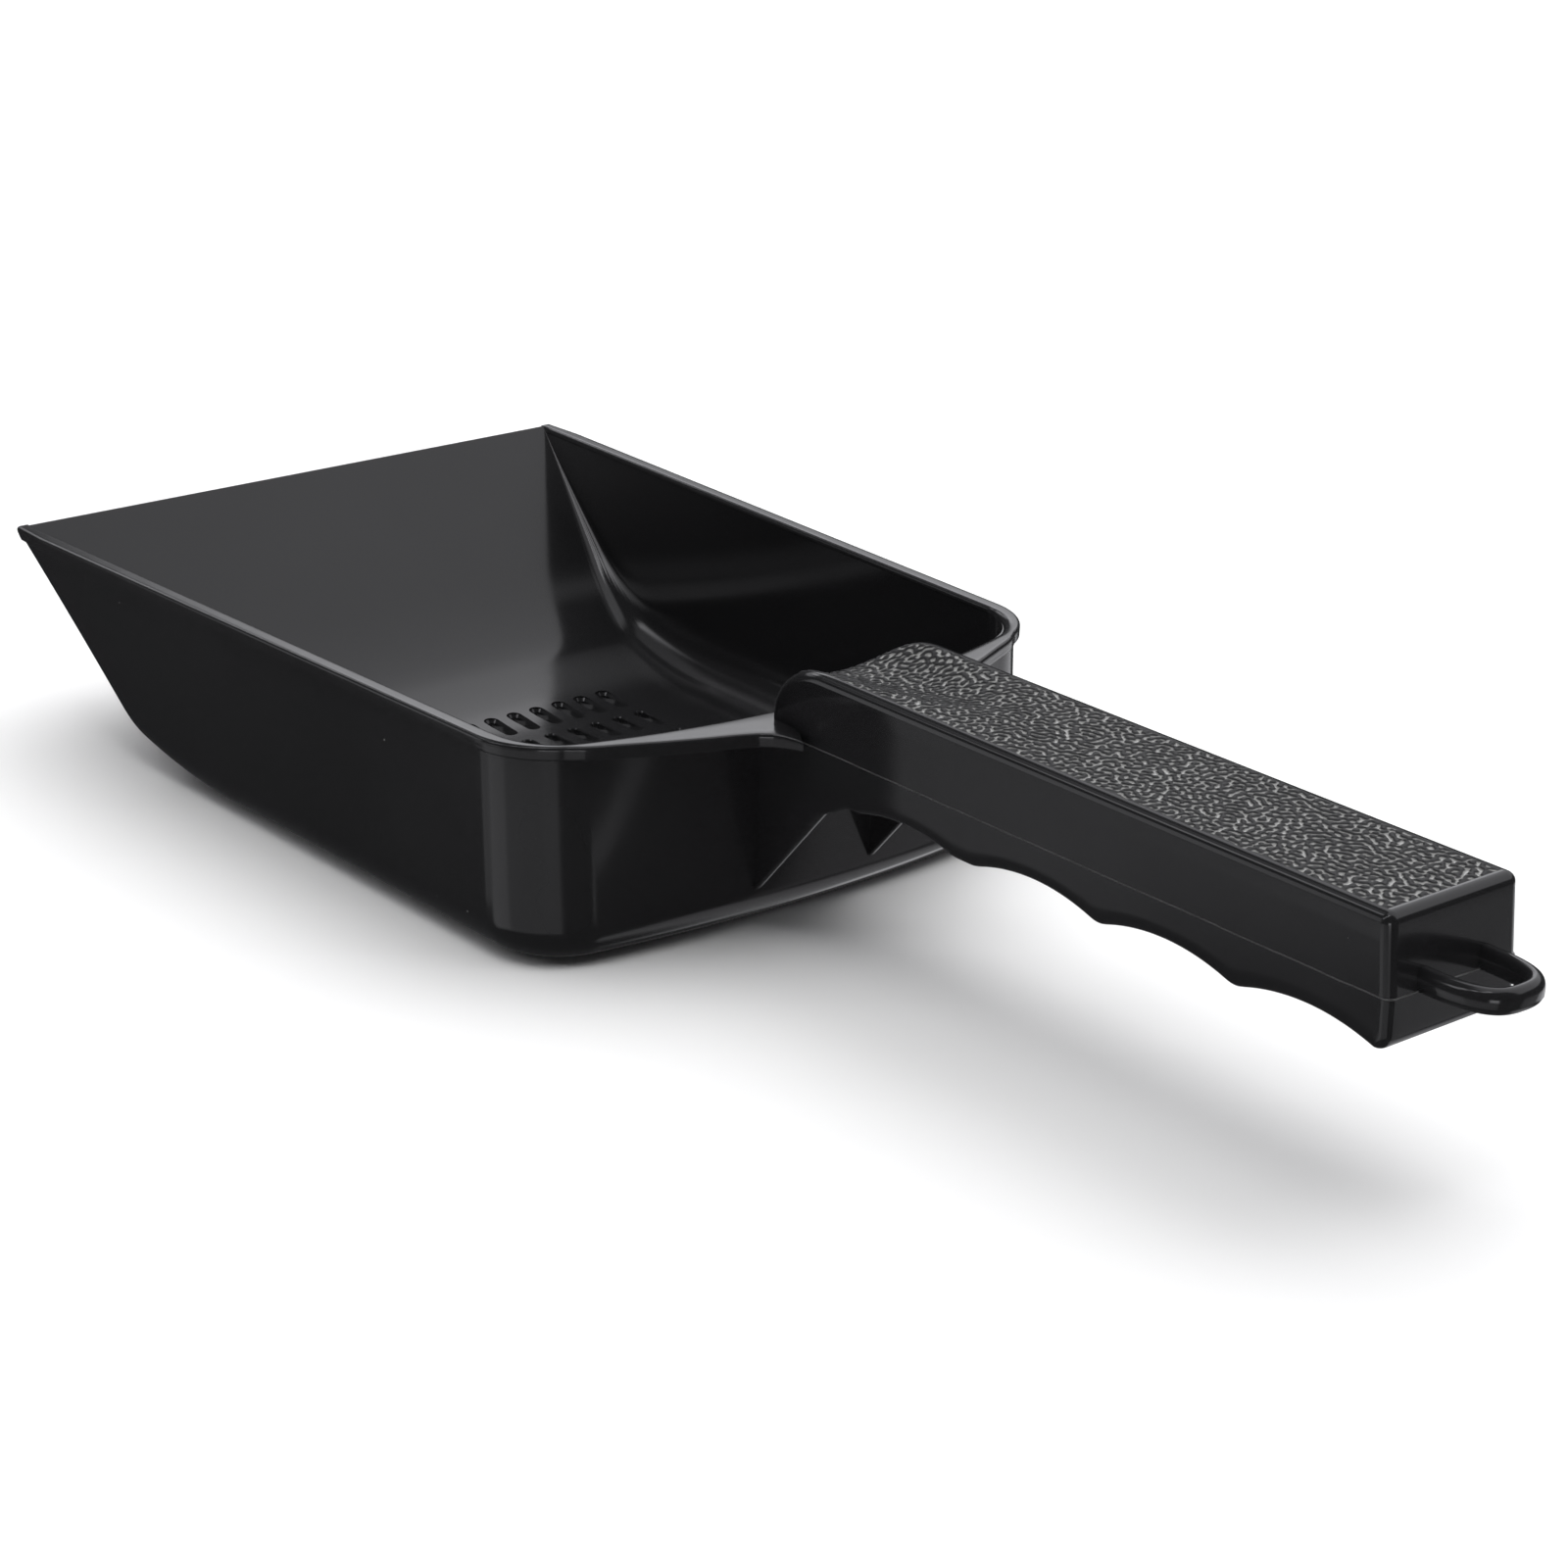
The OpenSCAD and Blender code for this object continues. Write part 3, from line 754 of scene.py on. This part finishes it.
# %% The lower half of the grip
HOLLOWS, HOLLOW_PITCH, HOLLOW_D, LAST_RIDGE = 4, 25.9, 2.1, GRIP_END - 1.0
# the hollow next to the pan is shallower and further forward than the others
FRONT_DROP, FRONT_SHIFT = 0.6, 1.5
LOW_START, LOW_R, LOW_EDGE_R = 151.3, 2.3, 1.2
WEB_X, WEB_DROP, WEB_BLEND = 166.45, 2.6, 6
WEB_TOP = RIDGE_Z + WEB_DROP


def underside_z(x):
    r = ((HOLLOW_PITCH / 2 - 0.5) ** 2 + HOLLOW_D ** 2) / 2 / HOLLOW_D
    z = np.full_like(x, -RIDGE_Z)
    for i in range(HOLLOWS):
        front = i == HOLLOWS - 1
        cx = LAST_RIDGE - (i + 0.5) * HOLLOW_PITCH - (FRONT_SHIFT if front else 0)
        cz = -RIDGE_Z + HOLLOW_D - r - (FRONT_DROP if front else 0)
        h = r ** 2 - (x - cx) ** 2
        z = np.where(h > 0, np.maximum(z, cz + np.sqrt(np.maximum(h, 0))), z)
    return z


xs = np.arange(LOW_START, GRIP_END, 0.25)
zs = underside_z(xs)
# between the webs the underside drops to meet them
into_webs = np.clip((WEB_X + WEB_BLEND - xs) / WEB_BLEND, 0, 1)
zs = np.where(xs < WEB_X + WEB_BLEND, np.minimum(zs, -RIDGE_Z - WEB_DROP * into_webs), zs)
zs = soften(zs, 14)
keep = xs < GRIP_END - LOW_R
low_line = list(zip(xs[keep], zs[keep]))
low_into = [(0, 1)] * len(low_line)
z_end = low_line[-1][1]
for a in quarter(9)[1:]:
    low_line.append((GRIP_END - LOW_R + LOW_R * math.sin(a), z_end + LOW_R - LOW_R * math.cos(a)))
    low_into.append((-math.sin(a), math.cos(a)))
for f in np.linspace(0, 1, 6)[1:]:
    low_line.append((GRIP_END, z_end + LOW_R + (-SEAM_Z - z_end - LOW_R) * f))
    low_into.append((-1, 0))
low_line, low_into = np.array(low_line), unit(low_into)
low_base = seam_base(low_line, low_into, LOW_EDGE_R, LOW_START, GRIP_END - LOW_EDGE_R, -SEAM_Z)
# its long edges are sharp between the webs and rounded behind them
low_radius = np.interp(low_line[:, 0], [165, 172], [0.04, LOW_EDGE_R])
low_rows = bar_solid(low_line, low_into, HALF, low_radius, low_base, across=12, rows_edge=8)
grip = smooth_piece("grip_underside", low_rows.reshape(-1, 3), bar_faces(*low_rows.shape[:2]), angle=35)

# %% [markdown]
# The webs are flat braces in the planes of the grip's two flanks. Their free edge slopes from the
# rear wall to the underside of the grip, and a small rounding on it shows as a bright line. Where a
# web meets the wall it is a little thicker, as a moulding is in an inside corner.


# %% The two side webs
# where the rear wall stands at the rim, the web's lower end, its thickness and its rounded edge
WALL_X, WEB_LOW, WEB_T, WEB_EDGE = 152.84, -29.0, 1.68, 0.4


def wall_x(z):
    return WALL_X - REAR_DRAFT * (-z) / (PAN_H - FLOOR_R)


def web_piece(name, side):
    upper, lower, outside = 0.4 - WEB_TOP, WEB_LOW, HALF - 0.01
    rows = []
    for z in np.linspace(upper, lower, 30):
        wall = wall_x(z)
        x_far = WEB_X + 0.6 + (upper - z) * (wall_x(lower) - WEB_X + 0.2) / (upper - lower)
        x_far = max(x_far, wall + 0.5)
        # the thickening against the wall takes less room where the web is short
        steps = (0.12, 0.3, 0.55) if x_far > wall + 1.2 else (0.1, 0.2, 0.3)
        marks = [wall - 0.9, wall] + [wall + s for s in steps]
        xs = marks + list(np.linspace(marks[-1], x_far - WEB_EDGE, 8)[1:])
        flare = [0.5, 0.5, 0.28, 0.1] + [0.0] * 8
        row = [(x, outside, z) for x in xs]
        for a in np.linspace(0, math.pi, 9)[1:-1]:
            row.append((x_far - WEB_EDGE + WEB_EDGE * math.sin(a), outside - 0.85 + 0.85 * math.cos(a), z))
        row += [(x, HALF - WEB_T - f, z) for x, f in reversed(list(zip(xs, flare)))]
        rows.append(row)
    rows = np.array(rows)
    rows[..., 1] *= side
    return smooth_piece(name, rows.reshape(-1, 3), tube_faces(*rows.shape[:2]), angle=40)


web_l = web_piece("web_brace_left", 1)
web_r = web_piece("web_brace_right", -1)

# %% [markdown]
# The hang ring is a short loop that grows out of the cover's end face. Its section is nearly an oval
# bar, and a fine line round its middle is where the two sides of the mould met.


# %% The hang ring
# its middle line's length and half width, half the bar's width and height, and its height in the frame
RING_L, RING_HALF, RING_W, RING_H, RING_Z = 10.93, 5.76, 1.31, 1.79, -0.41
RING_SIDES, RING_ROOT, MOULD_LINE = 44, np.array([1.2, 0.0]), 0.06


def ring_mesh():
    t = np.linspace(-math.pi / 2, math.pi / 2, 121)
    square = 2 / 3.0
    cx = RING_L * np.abs(np.cos(t)) ** square
    cy = RING_HALF * np.sign(np.sin(t)) * np.abs(np.sin(t)) ** square
    c = soften(evenly(np.stack([cx, cy], 1), 91), 6)
    along = unit(np.gradient(c, axis=0))
    out = np.stack([along[:, 1], -along[:, 0]], 1)
    # both ends run on into the cover
    c = np.concatenate([c[:1] - RING_ROOT, c, c[-1:] - RING_ROOT])
    out = np.concatenate([out[:1], out, out[-1:]])
    rows = []
    for (x, y), (ox, oy) in zip(c, out):
        row = []
        for k in range(RING_SIDES):
            a = 2 * math.pi * k / RING_SIDES
            w, h = (math.copysign(abs(v) ** 0.86, v) for v in (math.cos(a), math.sin(a)))
            wide = (RING_W + (MOULD_LINE if k == RING_SIDES - 3 else 0.0)) * w
            row.append((GRIP_END + x + wide * ox, y + wide * oy, RING_Z + RING_H * h))
        rows.append(row)
    rows = np.array(rows)
    return rows.reshape(-1, 3), tube_faces(*rows.shape[:2])


pts, faces = ring_mesh()
ring = smooth_piece("hang_loop", pts, faces, angle=60)

# %% [markdown]
# Where the two mouldings meet there is a fine seam, and a paper-thin uneven line of flash stands out
# of it here and there. It is a narrow band carried along both flanks and the end, whose height above
# the surface wanders.


# %% The seam line
SEAM_R, SEAM_STEP = 1.2, 0.5
# the witness line's outline: steps out from the surface, and heights, with None for the flash's edge
SEAM_OUTLINE = ((-0.5, -0.14), (0.012, -0.13), (None, -0.03), (None, 0.03), (0.012, 0.11), (-0.5, 0.14))
rng = np.random.default_rng(7)


def seam_path():
    """Places along the right flank, the end and the left flank, and the way each one faces."""
    path = [(x, -HALF, 0, -1) for x in np.arange(NOSE_X + 0.3, GRIP_END - SEAM_R, SEAM_STEP)]
    for a in quarter(8):
        s, c = math.sin(a), math.cos(a)
        path.append((GRIP_END - SEAM_R + SEAM_R * s, -(HALF - SEAM_R + SEAM_R * c), s, -c))
    path += [(GRIP_END, y, 1, 0) for y in np.arange(-HALF + 1.4, HALF - 1.3, SEAM_STEP)]
    for a in np.linspace(math.pi / 2, 0, 8):
        s, c = math.sin(a), math.cos(a)
        path.append((GRIP_END - SEAM_R + SEAM_R * s, HALF - SEAM_R + SEAM_R * c, s, c))
    path += [(x, HALF, 0, 1) for x in np.arange(GRIP_END - 1.4, NOSE_X + 0.2, -SEAM_STEP)]
    return np.array(path)


def seam_mesh():
    path = seam_path()
    n = len(path)
    wander = np.convolve(rng.standard_normal(n + 40), np.ones(9) / 3, "same")[20:20 + n]
    fine = rng.standard_normal(n)
    rows = []
    for (x, y, nx, ny), w, g in zip(path, wander, fine):
        flash = 0.05 + 0.05 * max(0.0, w) + 0.015 * abs(g)
        z = -SEAM_Z + 0.03 * w
        outline = [(flash if h is None else h, dz) for h, dz in SEAM_OUTLINE]
        rows.append([(x + h * nx, y + h * ny, z + dz) for h, dz in outline])
    rows = np.array(rows)
    return rows.reshape(-1, 3), tube_faces(*rows.shape[:2])


pts, faces = seam_mesh()
seam = smooth_piece("seam_flash", pts, faces, angle=30)

# %% [markdown]
# Black polypropylene from a polished mould is nearly black under a clear, slightly soft gloss. Up
# close it is never perfect: the surface undulates a little over thick places, has hair-fine
# scratches and dust, and turns duller where it is handled.


# %% Colours and the plain moulded finish
def srgb(hexa):
    v = [int(hexa[i:i + 2], 16) / 255 for i in (0, 2, 4)]
    return tuple(c / 12.92 if c <= 0.04045 else ((c + 0.055) / 1.055) ** 2.4 for c in v) + (1.0,)


def mm(size):
    return 1000.0 / size


def moulded_black(name, roughness, base="161617", light="232324", streak=0.0, wave=0.02, dust=0.55):
    mat = bpy.data.materials.new(name)
    mat.use_nodes = True
    tree = mat.node_tree
    tree.nodes.clear()
    out = add_node(tree, "ShaderNodeOutputMaterial")
    shader = add_node(tree, "ShaderNodeBsdfPrincipled",
                      in_IOR=1.49, in_Metallic=0.0, in_Specular_IOR_Level=0.5)
    tree.links.new(shader.outputs[0], out.inputs[0])
    where = add_node(tree, "ShaderNodeTexCoord").outputs["Object"]
    # the black drifts a shade over about 40 mm, so that no large face is one flat colour
    cloud = add_node(tree, "ShaderNodeTexNoise", {"Vector": where}, in_Scale=mm(38.0), in_Detail=4.0)
    tint = add_node(tree, "ShaderNodeMix", {"Factor": cloud.outputs["Fac"]}, data_type="RGBA",
                    in_A=srgb(base), in_B=srgb(light))
    # dust: pale matt specks about 0.3 mm across, some 6 mm apart, and only in patches
    specks = add_node(tree, "ShaderNodeTexVoronoi", {"Vector": where}, feature="F1", in_Scale=mm(6.5))
    spot = add_node(tree, "ShaderNodeMapRange", {"Value": specks.outputs["Distance"]},
                    in_From_Min=0.028, in_From_Max=0.018, in_To_Min=0.0, in_To_Max=1.0)
    thin = add_node(tree, "ShaderNodeTexNoise", {"Vector": where}, in_Scale=mm(21.0), in_Detail=2.0)
    some = add_node(tree, "ShaderNodeMapRange", {"Value": thin.outputs["Fac"]},
                    in_From_Min=0.5, in_From_Max=0.62, in_To_Min=0.0, in_To_Max=dust)
    dusty = add_node(tree, "ShaderNodeMath", {0: spot.outputs[0], 1: some.outputs[0]}, operation="MULTIPLY")
    colour = add_node(tree, "ShaderNodeMix", {"Factor": dusty.outputs[0], "A": tint.outputs["Result"]},
                      data_type="RGBA", in_B=srgb("8d8d8a"))
    tree.links.new(colour.outputs["Result"], shader.inputs["Base Color"])
    # handling: the gloss comes and goes in patches of about 14 mm
    handled = add_node(tree, "ShaderNodeTexNoise", {"Vector": where},
                       in_Scale=mm(14.0), in_Detail=6.0, in_Roughness=0.62)
    gloss = add_node(tree, "ShaderNodeMapRange", {"Value": handled.outputs["Fac"]}, in_From_Min=0.3,
                     in_From_Max=0.75, in_To_Min=roughness * 0.86, in_To_Max=roughness * 1.25)
    rough = add_node(tree, "ShaderNodeMath", {0: gloss.outputs[0], 1: dusty.outputs[0]},
                     operation="ADD", use_clamp=True)
    tree.links.new(rough.outputs[0], shader.inputs["Roughness"])
    # the surface rolls a few hundredths of a millimetre, which bends long reflections
    slow = add_node(tree, "ShaderNodeTexNoise", {"Vector": where}, in_Scale=mm(26.0), in_Detail=1.5)
    bump1 = add_node(tree, "ShaderNodeBump", {"Height": slow.outputs["Fac"]},
                     in_Strength=0.5, in_Distance=wave / 1000)
    # half-millimetre scratches; a trimmed edge has deeper ones, drawn out along it
    stretch = add_node(tree, "ShaderNodeMapping", {"Vector": where},
                       in_Scale=(0.06, 0.06, 1.0) if streak else (1.0, 0.25, 0.6))
    hair = add_node(tree, "ShaderNodeTexNoise", {"Vector": stretch.outputs[0]}, in_Scale=mm(0.55), in_Detail=3.0)
    bump2 = add_node(tree, "ShaderNodeBump", {"Height": hair.outputs["Fac"], "Normal": bump1.outputs[0]},
                     in_Strength=0.35, in_Distance=(0.0008 + streak) / 1000)
    tree.links.new(bump2.outputs[0], shader.inputs["Normal"])
    return mat


# gives the pan, webs and grip their clear, slightly soft reflections
gloss_black = moulded_black("black_polypropylene_polished_mould", 0.115)
# duller and drawn out along the edge, where the rim was trimmed
rim_black = moulded_black("black_polypropylene_trimmed_rim", 0.16, streak=0.09, wave=0.03, dust=0.4)
# a dull grey hairline between the two mouldings
seam_black = moulded_black("black_polypropylene_seam_witness_line", 0.3, base="3a3a3a", light="4c4c4c")
# the ring shines as the grip does, with less dust
ring_black = moulded_black("black_polypropylene_ring", 0.13, wave=0.02, dust=0.3)
print("plain finishes made")

# %% [markdown]
# The grained top is the same plastic from an etched mould. The pillows are matt and nearly black.
# The veins between them were left smooth, so they shine, and their bright reflection is also painted
# into their colour as a grey sheen. The finish reads the height that the mesh keeps, and so it
# follows the real relief.


# %% The leather-grained finish
def leather_black(name):
    mat = moulded_black(name, 0.3, base="0f0f10", light="171718", dust=0.2)
    tree = mat.node_tree
    shader = next(x for x in tree.nodes if x.type == "BSDF_PRINCIPLED")
    plain = shader.inputs["Base Color"].links[0].from_socket
    raised = add_node(tree, "ShaderNodeAttribute", attribute_name="relief")
    # a mask of the veins, which sets both their real gloss and their painted grey sheen
    vein_gloss_and_painted_sheen = add_node(tree, "ShaderNodeMapRange", {"Value": raised.outputs["Fac"]}, in_From_Min=0.05,
                    in_From_Max=0.62, in_To_Min=1.0, in_To_Max=0.0, interpolation_type="SMOOTHSTEP")
    # the veins get a grey base colour: a painted sheen that stands in for their bright reflection
    colour = add_node(tree, "ShaderNodeMix", {"Factor": vein_gloss_and_painted_sheen.outputs[0], "A": plain},
                      data_type="RGBA", in_B=srgb("878785"))
    tree.links.new(colour.outputs["Result"], shader.inputs["Base Color"])
    gloss = add_node(tree, "ShaderNodeMapRange", {"Value": vein_gloss_and_painted_sheen.outputs[0]},
                     in_From_Min=0.0, in_From_Max=1.0, in_To_Min=0.5, in_To_Max=0.16)
    tree.links.new(gloss.outputs[0], shader.inputs["Roughness"])
    return mat


leather = leather_black("black_polypropylene_leather_grain")
print("grained finish made")

# %% Put the finishes on
for obj, mat in ((pan, gloss_black), (rim, rim_black), (grip, gloss_black), (cover, gloss_black),
                 (panel, leather), (web_l, gloss_black), (web_r, gloss_black), (ring, ring_black),
                 (seam, seam_black)):
    obj.data.materials.clear()
    obj.data.materials.append(mat)
bpy.data.materials.remove(black_slot)
for name in ("lower_ribs", "cover_ribs"):
    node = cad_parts[name]
    node.data.materials.clear()
    node.data.materials.append(gloss_black)

# %% [markdown]
# Each finished piece now stands for its CAD node and rides on the scoop's one body. The ribs inside
# the grip stay as the CAD made them, because the two halves hide them.

# %% Tie the pieces to the frame
for obj, names, slot in ((pan, ["pan"], "body_plastic"), (rim, ["rim"], "body_plastic"),
                         (grip, ["grip_lower"], "body_plastic"), (cover, ["grip_cover"], "body_plastic"),
                         (panel, ["grain_panel"], "grained_plastic"), (web_l, ["web_left"], "body_plastic"),
                         (web_r, ["web_right"], "body_plastic"), (ring, ["hang_ring"], "body_plastic"),
                         (seam, [], "body_plastic")):
    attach(obj, "root")
    if names:
        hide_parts(*names)

# %% [markdown]
# The scoop lies on a pale table. Black gloss has hardly any colour of its own, so what it shows is
# the light round it: soft-edged panels, which the world paints by direction. The table and the lamp
# overhead light the scoop but stay out of its reflections, or the outside walls would turn grey and
# the ramp would show one large glare. Panels below the horizon stand in for what the table throws
# back.


# %% The table
TABLE_HALF, TABLE_Z = 8.0, -0.0003
corners = [(x * TABLE_HALF, y * TABLE_HALF, TABLE_Z) for x, y in ((-1, -1), (1, -1), (1, 1), (-1, 1))]
floor_mesh = bpy.data.meshes.new("table")
floor_mesh.from_pydata(corners, [], [(0, 1, 2, 3)])
floor = bpy.data.objects.new("table", floor_mesh)
bpy.context.scene.collection.objects.link(floor)
pale = bpy.data.materials.new("pale_matt_table")
pale.use_nodes = True
matt = pale.node_tree.nodes["Principled BSDF"].inputs
matt["Base Color"].default_value = srgb("f8f8f7")
matt["Roughness"].default_value = 0.9
matt["Specular IOR Level"].default_value = 0.1
floor_mesh.materials.append(pale)
floor.visible_glossy = False
print("table", TABLE_HALF * 2, "m wide")

# %% The direction that a reflection looks in
world = bpy.data.worlds.new("studio")
world.use_nodes = True
sky = world.node_tree
sky.nodes.clear()
ray = add_node(sky, "ShaderNodeSeparateXYZ", {0: add_node(sky, "ShaderNodeTexCoord").outputs["Generated"]})
turn = add_node(sky, "ShaderNodeMath", {0: ray.outputs["Y"], 1: ray.outputs["X"]}, operation="ARCTAN2")
height = add_node(sky, "ShaderNodeMath", {0: ray.outputs["Z"]}, operation="ARCSINE")


# %% The light panels
def light_panel(below, az, el, half_az, half_el, soft, level):
    """Adds a soft-edged panel, in degrees, to the light so far."""
    off = add_node(sky, "ShaderNodeMath", {0: turn.outputs[0]}, operation="SUBTRACT", in_1=math.radians(az))
    off = add_node(sky, "ShaderNodeMath", {0: off.outputs[0]}, operation="WRAP", in_1=math.pi, in_2=-math.pi)
    rise = add_node(sky, "ShaderNodeMath", {0: height.outputs[0]}, operation="SUBTRACT", in_1=math.radians(el))
    both = []
    for source, half in ((off, half_az), (rise, half_el)):
        size = add_node(sky, "ShaderNodeMath", {0: source.outputs[0]}, operation="ABSOLUTE")
        both.append(add_node(sky, "ShaderNodeMapRange", {"Value": size.outputs[0]},
                             interpolation_type="SMOOTHSTEP", in_From_Min=math.radians(half + soft),
                             in_From_Max=math.radians(half - soft)))
    links = {0: both[0].outputs[0], 1: both[1].outputs[0]}
    mask = add_node(sky, "ShaderNodeMath", links, operation="MULTIPLY")
    total = add_node(sky, "ShaderNodeMath", {0: mask.outputs[0], 2: below}, operation="MULTIPLY_ADD", in_1=level)
    return total.outputs[0]


# Each panel: its direction round the scoop and its height above the horizon, half its width and half
# its height, the softness of its edge, all in degrees, and its brightness. 0 is behind the hang ring,
# 90 is to the scoop's left, 180 is in front of the lip and 270 is to its right.
PANELS = (
    # a broad panel high on the left, and smaller ones from the front left round to the front right
    (90, 45, 60, 26, 4, 1.0), (140, 27, 12, 4, 2, 0.3), (175, 27, 27, 4, 2, 1.1),
    (177, 34.5, 10, 3.2, 1.5, 2.6), (213, 41, 5, 6, 3, 2.0), (197, 48, 18, 8, 3, 0.3),
    # an upright panel at the front right, and a small one below it
    (225.5, 3, 8, 14, 2, 0.85), (225.85, -18.5, 6.15, 4.8, 0.5, 0.36),
    # below the horizon: on the right, and then on the left
    (280, -26, 48, 9, 3, 0.38), (246, -24, 13, 8, 3, 0.25),
    (74, -52, 38, 9, 4, 0.55), (112, -47, 8, 4, 2, 0.9), (52, -27, 12, 12, 3, 0.3),
    # one strong panel low at the right rear
    (318, -8, 12, 7, 3, 2.5),
    # bright patches that climb from the front right to nearly overhead
    (245, 27, 6, 6, 2.5, 2.6), (251, 38, 5, 6, 2.5, 3.0), (263, 51, 6, 5.5, 2.5, 3.6),
    (279, 61, 7, 5.5, 2.5, 3.6), (294, 72, 14, 6, 3, 3.4),
    # low on the left, low behind the ring, and the front left again
    (88, -24, 22, 7, 3, 1.2), (9.5, -21, 1.9, 2.6, 0.7, 0.42), (138, 20, 14, 4.5, 2, 1.0),
    # the ceiling
    (0, 84, 180, 13, 5, 0.9),
)
light = add_node(sky, "ShaderNodeValue").outputs[0]
light.default_value = 0.06
for spec in PANELS:
    light = light_panel(light, *spec)
back = add_node(sky, "ShaderNodeBackground", {"Strength": light}, in_Color=srgb("fbfbff"))
add_node(sky, "ShaderNodeOutputWorld", {"Surface": back.outputs[0]})
bpy.context.scene.world = world
print("light panels", len(PANELS))

# %% The lamp overhead
lamp_data = bpy.data.lights.new("overhead", "AREA")
lamp_data.shape, lamp_data.size, lamp_data.size_y = "RECTANGLE", 2.4, 2.4
lamp_data.energy = 32
lamp = bpy.data.objects.new("overhead", lamp_data)
lamp.location = (-0.1, 0.3, 1.5)
lamp.rotation_euler = (-lamp.location).to_track_quat("-Z", "Y").to_euler()
bpy.context.scene.collection.objects.link(lamp)
lamp.visible_glossy = False
print("lamp", lamp_data.energy, "W")

# %% The camera
# it looks down on the scoop from its right rear, 0.6 m away
cam_data = bpy.data.cameras.new("camera")
cam_data.lens, cam_data.sensor_width = 82.75, 36.0
cam_data.clip_start = 0.01
camera = bpy.data.objects.new("camera", cam_data)
bpy.context.scene.collection.objects.link(camera)
RIGHT, UP, BACK = (0.62325, 0.78197, 0.00971), (-0.28619, 0.21651, 0.93339), (0.72778, -0.58451, 0.35873)
PLACE = (0.44565, -0.3270, 0.2193)
camera.matrix_world = Matrix((*zip(RIGHT, UP, BACK, PLACE), (0, 0, 0, 1)))
bpy.context.scene.camera = camera
bpy.context.scene.view_settings.view_transform = "Standard"
print("camera at", PLACE)
